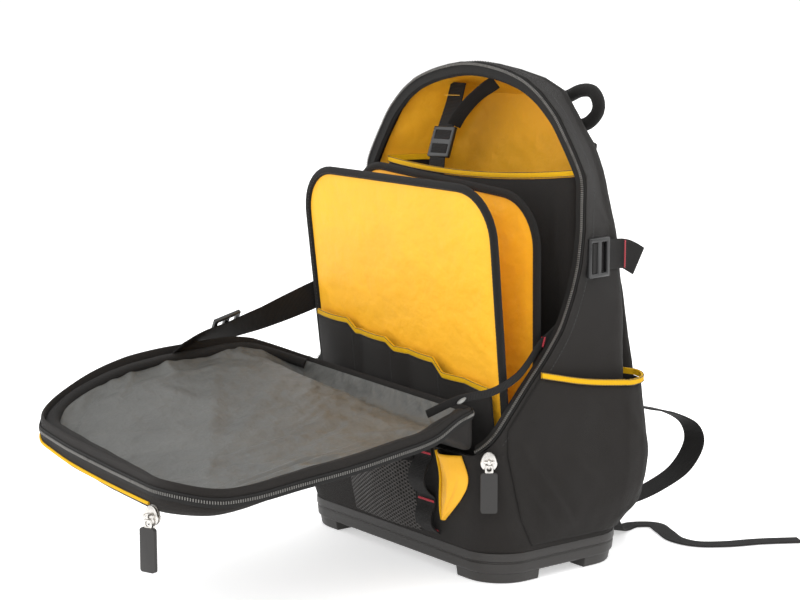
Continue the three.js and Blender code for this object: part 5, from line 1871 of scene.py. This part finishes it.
    def lining(self) -> None:
        """Loose lining, let down by a cloth simulation onto the padded shell."""
        rows = self.lining_rows()
        n = rows.shape[0]
        obj = lattice("flap_lining_cloth", rows[:, ::-1])
        start = rows[:, ::-1].reshape(-1, 3)
        under = rows.copy()
        under[..., 2] = self.under(rows[..., :2]) + 3.4
        bed = lattice("flap_bed", under[:, ::-1])
        bed.modifiers.new("Collision", "COLLISION")
        bed.collision.thickness_outer = 0.0012
        edge = [j * n + i for j in range(n) for i in range(n) if j in (0, n - 1) or i in (0, n - 1)]
        group = obj.vertex_groups.new(name="sewn")
        group.add(edge, 1.0, "REPLACE")
        part = obj.modifiers.new("Cloth", "CLOTH")
        part.settings.vertex_group_mass = "sewn"
        part.settings.shrink_min = -0.045
        part.settings.mass = 0.12
        part.settings.tension_stiffness = part.settings.compression_stiffness = 12
        part.settings.bending_stiffness = 0.12
        part.settings.quality = 6
        part.collision_settings.distance_min = 0.0012
        part.point_cache.frame_start, part.point_cache.frame_end = 1, 26
        for number in range(1, 27):
            bpy.context.scene.frame_set(number)
        alone(obj)
        bpy.ops.object.modifier_apply(modifier="Cloth")
        bpy.context.scene.frame_set(1)
        bpy.data.objects.remove(bed)
        points = points_of(obj) / MM + (0, 0, S.foot)
        low = self.under(points[:, :2]) + 3.2
        points = start + np.clip(points - start, -13, 13)
        points[:, 2] = np.maximum(points[:, 2], low)
        points[:, 2] = np.minimum(points[:, 2], self.rim(points[:, :2]) + 4)
        points[:, 2] += self.folds(n).reshape(-1)
        obj.data.vertices.foreach_set("co", ((points - (0, 0, S.foot)) * MM).ravel())
        applied(obj, "SUBSURF", levels=2, render_levels=2)
        applied(obj, "SOLIDIFY", thickness=0.9 * MM, offset=-1)
        dressed(smooth(obj, 60), KIT.lining, "lining", "flap_lining")
        declared(obj, rows)

    def build(self) -> None:
        """Builds and dresses the flap."""
        self.shell()
        self.edges()
        self.lining()


@dataclass
class Straps:
    """Limit straps of the flap and the straps over the rear pocket."""

    limit_right: tuple = ((161.5, 24, 270), (159.2, 2, 256), (157, -14, 244), (157.5, -30, 234),
        (161.5, -50, 217),
                          (162.5, -65, 206), (160, -92, 195), (150, -125, 190), (140, -156, 178))
    limit_left: tuple = ((-162.3, 16, 285), (-158.5, -6, 276), (-158, -30, 268), (-161.5, -60, 257),
        (-163, -95, 246),
                         (-168, -140, 232), (-171, -183, 222), (-165, -222, 217), (-150, -258, 211))
    closure: tuple = ((-58, 42, 483.5), (-59, 36, 462), (-60, 26, 436), (-61.5, 17.6, 410), (-62, 15.7, 398),
        (-62.5, 15.9, 380))
    tie: tuple = ((6, 40, 484.5), (-6, 33, 475), (-22, 27, 461), (-34, 24, 448), (-42, 23.5, 438))

    def build(self) -> None:
        """Builds and dresses the straps."""
        line = curve(self.limit_right, 90)
        dressed(band("limit_web_right", line, (0, 0, 1), 8, 1.5, ripple=0.3), KIT.web, "webbing",
            "limit_strap_right")
        clear_selection()
        bpy.ops.mesh.primitive_uv_sphere_add(segments=24, ring_count=12, radius=1 * MM)
        hook = bpy.context.object
        hook.name = "limit_hook"
        hook.scale = (8.5, 5, 2)
        hook.rotation_euler = (0.5, 0.2, -0.9)
        hook.location = Vector((150.5, -122, 189 - S.foot)) * MM
        settle()
        dressed(smooth(hook), KIT.grey_plastic, "slide_plastic")
        tacks("limit_tack_right", [line[26] + row((-1.2, 0, 0)), line[26] + row((2.6, 0, 0))], (0, 0.3, 1),
            (1, 0, 0), 9)
        line = curve(self.limit_left, 120)
        share = np.linspace(0, 1, 120)
        side = np.stack([2.6 * np.maximum(share - 0.35, 0) ** 1.2, share * 0, np.ones(120)], axis=1)
        dressed(band("limit_web_left", line, side, 30, 1.5, ripple=0.4), KIT.web, "webbing",
            "limit_strap_left")
        set_slide("limit_slide_frame", 30, (-171.5, -188, 226.5), (0.05, -1, -0.25), (-0.75, 0, 0.66),
            "limit_slide_left")
        line = curve(self.closure, 80)
        dressed(band("closure_web", line, (1, 0, 0), 26, 1.5), KIT.web, "webbing", "closure_strap")
        set_slide("closure_slide_frame", 26, (-61, 20.6, 421), (0, -0.33, -1), (0, -1, 0.33), "closure_slide")
        across = spaced(row([(-71, 34.4, 470), (-47, 34.4, 470)]), 12)
        made = copied(stitch_shape(2.4, 0.9), "closure_seam", across, (1, 0, 0), (0, -1, 0), (0, 0, 1))
        dressed(made, KIT.yellow_thread, "bright_trim")
        dressed(band("tie_web", curve(self.tie, 50), (0.75, 0.5, 0.42), 15, 1.5), KIT.web, "webbing",
            "tie_strap")


@dataclass
class Harness:
    """Back pad, shoulder straps, their webs, the tail on the floor and the handle."""

    pad_rows: tuple = ((60, 130), (120, 132), (200, 130), (280, 122), (350, 108), (400, 94), (424, 80))
    pad_route: tuple = ((52, 103.1, 422), (53, 104.9, 408), (57, 113, 384), (65, 122, 340), (74, 129, 280),
        (82, 134, 220), (90, 138, 156))
    web_route: tuple = ((90.5, 139, 152.5), (98, 160, 140), (112, 196, 131), (121, 221, 116), (123, 227, 98),
        (121.5, 210, 72),
                        (118, 170, 54), (116, 130, 46), (112, 94, 44))
    tail_route: tuple = ((112, 94.5, 39.6), (110, 108, 36), (103, 124, 20), (92, 142, 5), (82, 160, 0.3),
        (78, 182, 0.3), (92, 200, 0.3),
                         (118, 190, 0.3), (148, 177, 0.3), (172, 181, 0.3), (191, 204, 0.3), (207, 242, 0.3),
                         (229, 280, 0.3))
    handle_half: tuple = ((66, 99.5, 446), (82, 100, 450), (90, 102, 459), (83, 105, 468), (66, 108, 469),
        (40, 111, 462), (0, 113, 456))

    def back_pad(self) -> None:
        """Padded panel in three channels against the wearer's back."""
        u, v = shares(64, 90)
        z = 60 + 364 * v
        half = ease(self.pad_rows, z)
        x = (u - 0.5) * 2 * half
        rise = np.clip(np.sin(math.pi * u), 0, 1) ** 0.4 * np.clip(np.sin(math.pi * v), 0, 1) ** 0.4
        seam = sum(np.exp(-(((u - m) / 0.012) ** 2))
            for m in (0.36, 0.64)) + sum(np.exp(-(((v - m) / 0.01) ** 2)) for m in (0.33, 0.66))
        y = S.back_reach + 0.4 + 6.8 * rise * (1 - 0.55 * np.clip(seam, 0, 1))
        front = np.stack([x, np.full_like(x, S.back_reach + 0.3), z], axis=-1)
        rows = np.concatenate([np.stack([x, y, z], axis=-1), front[:, ::-1]], axis=1)
        obj = lattice("back_pad_cloth", rows, ring=True, capped=True)
        dressed(obj, KIT.binding, "body_cloth", "back_pad")

    def shoulder(self, side: str, sign: int) -> None:
        """Padded strap, filled by simulation, with its web."""
        line = curve(self.pad_route, 60)
        wide = np.linspace(62, 48, 60)
        section = row([(-0.5, 0.3), (-0.42, 0.06), (-0.3, 0), (0, 0), (0.3, 0), (0.42, 0.06), (0.5, 0.3),
            (0.5, 0.7),
                       (0.42, 0.94), (0.3, 1), (0, 1), (-0.3, 1), (-0.42, 0.94), (-0.5, 0.7)]) * (0.97,
                       0.92) + (0, 0.04)
        obj = band(f"shoulder_pad_cloth_{side}", line, (1, 0.15, -0.2), wide, 13, section)
        points = points_of(obj) * (sign, 1, 1)
        obj.data.vertices.foreach_set("co", points.ravel())
        if sign < 0:
            obj.data.flip_normals()
        inflated(obj, 4.0, 4.0, 3.0)
        dressed(box_cloth(obj), KIT.cloth, "body_cloth", f"shoulder_pad_{side}")
        web = curve(self.web_route, 90) * (sign, 1, 1)
        dressed(band(f"shoulder_web_band_{side}", web, (sign, 0, 0), 30, 1.5), KIT.web, "webbing",
            f"shoulder_web_{side}")

    def build(self) -> None:
        """Builds and dresses the harness."""
        self.back_pad()
        self.shoulder("right", 1)
        self.shoulder("left", -1)
        line = curve(self.tail_route, 150)
        side = np.cross(tangents(line), (0, 0, 1))
        tail = band("floor_tail_web", line, side, 20, 1.5)
        dressed(tail, KIT.web, "webbing", "web_tail")
        route = [*self.handle_half, *[(-x, y, z) for x, y, z in self.handle_half[-2::-1]]]
        grip = band("haul_handle_roll", curve(route, 120), (0, 1, 0), 13, 14, oval(16), ripple=0.3)
        dressed(grip, KIT.binding, "webbing", "haul_handle")


@dataclass
class ZipPull:
    """Plated slider with its bail, and the link and rubber tab that hang from it."""

    name: str
    at: tuple[float, float, float]
    facing: float
    bar: tuple[float, float] = (8.4, 3.0)
    link: float = 17.0
    tab: float = 39.0

    def set_in_place(self, obj: Piece) -> Piece:
        """Turns and moves a piece from the slider's own frame to its place."""
        alone(obj)
        settle()
        turn = Matrix.Rotation(math.radians(self.facing), 4, "Z")
        shift = Matrix.Translation(Vector((self.at[0], self.at[1], self.at[2] - S.foot)) * MM)
        obj.data.transform(shift @ turn)
        return smooth(obj, 40)

    def block(self, name: str, size: tuple, place: tuple) -> Piece:
        """A block in the slider's own frame, in millimetres."""
        clear_selection()
        bpy.ops.mesh.primitive_cube_add(size=1, location=[c * MM for c in place])
        obj = bpy.context.object
        obj.name, obj.scale = name, [s * MM for s in size]
        settle()
        return obj

    def slider(self) -> Piece:
        """Two plates, a diamond between them and the bail that holds the bar."""
        bar_y, bar_z = self.bar
        parts = []
        for k, y in enumerate((1.0, 4.2)):
            clear_selection()
            bpy.ops.mesh.primitive_cylinder_add(vertices=32, radius=8 * MM, depth=1.5 * MM,
                                                location=(0, y * MM, 1.5 * MM), rotation=(math.pi / 2, 0, 0))
            plate = bpy.context.object
            bpy.ops.object.mode_set(mode="EDIT")
            mesh = bmesh.from_edit_mesh(plate.data)
            for vert in mesh.verts:
                if vert.co.y > 0:
                    vert.co.y *= 1.3
                    vert.co.x *= 0.92
            bmesh.update_edit_mesh(plate.data)
            bpy.ops.object.mode_set(mode="OBJECT")
            settle()
            parts.append(rounded(plate, 0.4))
        parts.append(self.block("core", (4, 3, 12), (0, 2.4, -3)))
        for side in (-1, 1):
            leg = self.block("leg", (1.5, bar_y - 3.0, 3.2), (side * 4.4, 4 + (bar_y - 4) / 2, bar_z))
            parts.append(rounded(leg, 0.4))
        clear_selection()
        bpy.ops.mesh.primitive_cylinder_add(vertices=20, radius=1.2 * MM, depth=10.2 * MM,
                                            location=(0, bar_y * MM, bar_z * MM),
                                            rotation=(0, math.pi / 2, 0))
        settle()
        parts.append(bpy.context.object)
        obj = joined(parts)
        obj.name = self.name + "_slider_metal"
        return self.set_in_place(obj)

    def hanger(self) -> Piece:
        """Link: an eye round the bar, a plate with a hole and a grip at its foot."""
        bar_y, bar_z = self.bar
        clear_selection()
        bpy.ops.mesh.primitive_torus_add(major_segments=28, minor_segments=10, major_radius=2.25 * MM,
            minor_radius=0.55 * MM,
                                         location=(0, bar_y * MM, bar_z * MM), rotation=(0, math.pi / 2, 0))
        eye = bpy.context.object
        eye.scale = (1, 1, 3.2)
        settle()
        plate = self.block("plate", (8, 1.8, self.link - 3.4), (0, bar_y, bar_z - self.link / 2 - 0.9))
        clear_selection()
        bpy.ops.mesh.primitive_cylinder_add(vertices=24, radius=2.4 * MM, depth=6 * MM,
                                            location=(0, bar_y * MM, (bar_z - 6.2) * MM),
                                            rotation=(math.pi / 2, 0, 0))
        carved(plate, bpy.context.object)
        rounded(plate, 0.4, 40)
        grip = self.block("grip", (8.6, 1.8, 5.6), (0, bar_y, bar_z - self.link + 3))
        rounded(grip, 0.4)
        obj = joined([plate, eye, grip])
        obj.name = self.name + "_link_metal"
        return self.set_in_place(obj)

    def rubber_tab(self) -> Piece:
        """Rubber tab with rounded corners and a sunken plain panel on each face."""
        bar_y, bar_z = self.bar
        top = bar_z - self.link + 7
        clear_selection()
        bpy.ops.mesh.primitive_plane_add(size=1, rotation=(math.pi / 2, 0, 0))
        obj = bpy.context.object
        obj.name = self.name + "_tab_rubber"
        obj.scale = (16 * MM, self.tab * MM, 1)
        settle()
        bpy.ops.object.mode_set(mode="EDIT")
        bpy.ops.mesh.select_all(action="SELECT")
        bpy.ops.transform.translate(value=(0, (bar_y + 2) * MM, (top - self.tab / 2) * MM))
        bpy.ops.mesh.bevel(offset=2.4 * MM, segments=5, affect="VERTICES")
        extrude(-4, 0)
        for back in (False, True):
            if back:
                mesh = bmesh.from_edit_mesh(obj.data)
                for face in mesh.faces:
                    face.select = face.calc_center_median().y > (bar_y + 1.99) * MM
                bmesh.update_edit_mesh(obj.data)
            bpy.ops.mesh.inset(thickness=1.9 * MM)
            extrude(-0.6 if back else 0.6, 0)
            bpy.ops.mesh.inset(thickness=1.1 * MM)
            extrude(0.5 if back else -0.5, 0)
        bpy.ops.mesh.select_all(action="SELECT")
        bpy.ops.mesh.normals_make_consistent(inside=False)
        bpy.ops.object.mode_set(mode="OBJECT")
        rounded(obj, 0.35, 35)
        return self.set_in_place(obj)

    def build(self) -> None:
        """Builds and dresses the slider and what hangs from it."""
        body = self.name + "_pull"
        dressed(self.slider(), KIT.metal, "pull_metal", self.name + "_slider")
        dressed(self.hanger(), KIT.metal, "pull_metal", self.name + "_pull_link", body=body)
        dressed(self.rubber_tab(), KIT.rubber, "pull_rubber", self.name + "_pull_tab", body=body)


def main() -> None:
    """Builds the studio and every sub-assembly, and reports each piece."""
    logging.basicConfig(level=logging.INFO, format="%(name)s %(message)s")
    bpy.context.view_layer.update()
    Studio().build()
    Tub().build()
    Shell().build()
    RearPocket().build()
    FrontDivider("front_divider", 316, 395, 6, 0.028, -52).build()
    RearDivider("rear_divider", 304, 390, 1.5, 0.085, -18).build()
    FrontWall().build()
    SidePocket("right", 1).build()
    SidePocket("left", -1).build()
    Flap().build()
    Straps().build()
    Harness().build()
    ZipPull("main_zip", (162.8, -98.2, 126), -127).build()
    ZipPull("flap_zip", (118, -435.55, 119), -160).build()


if __name__ == "__main__":
    main()
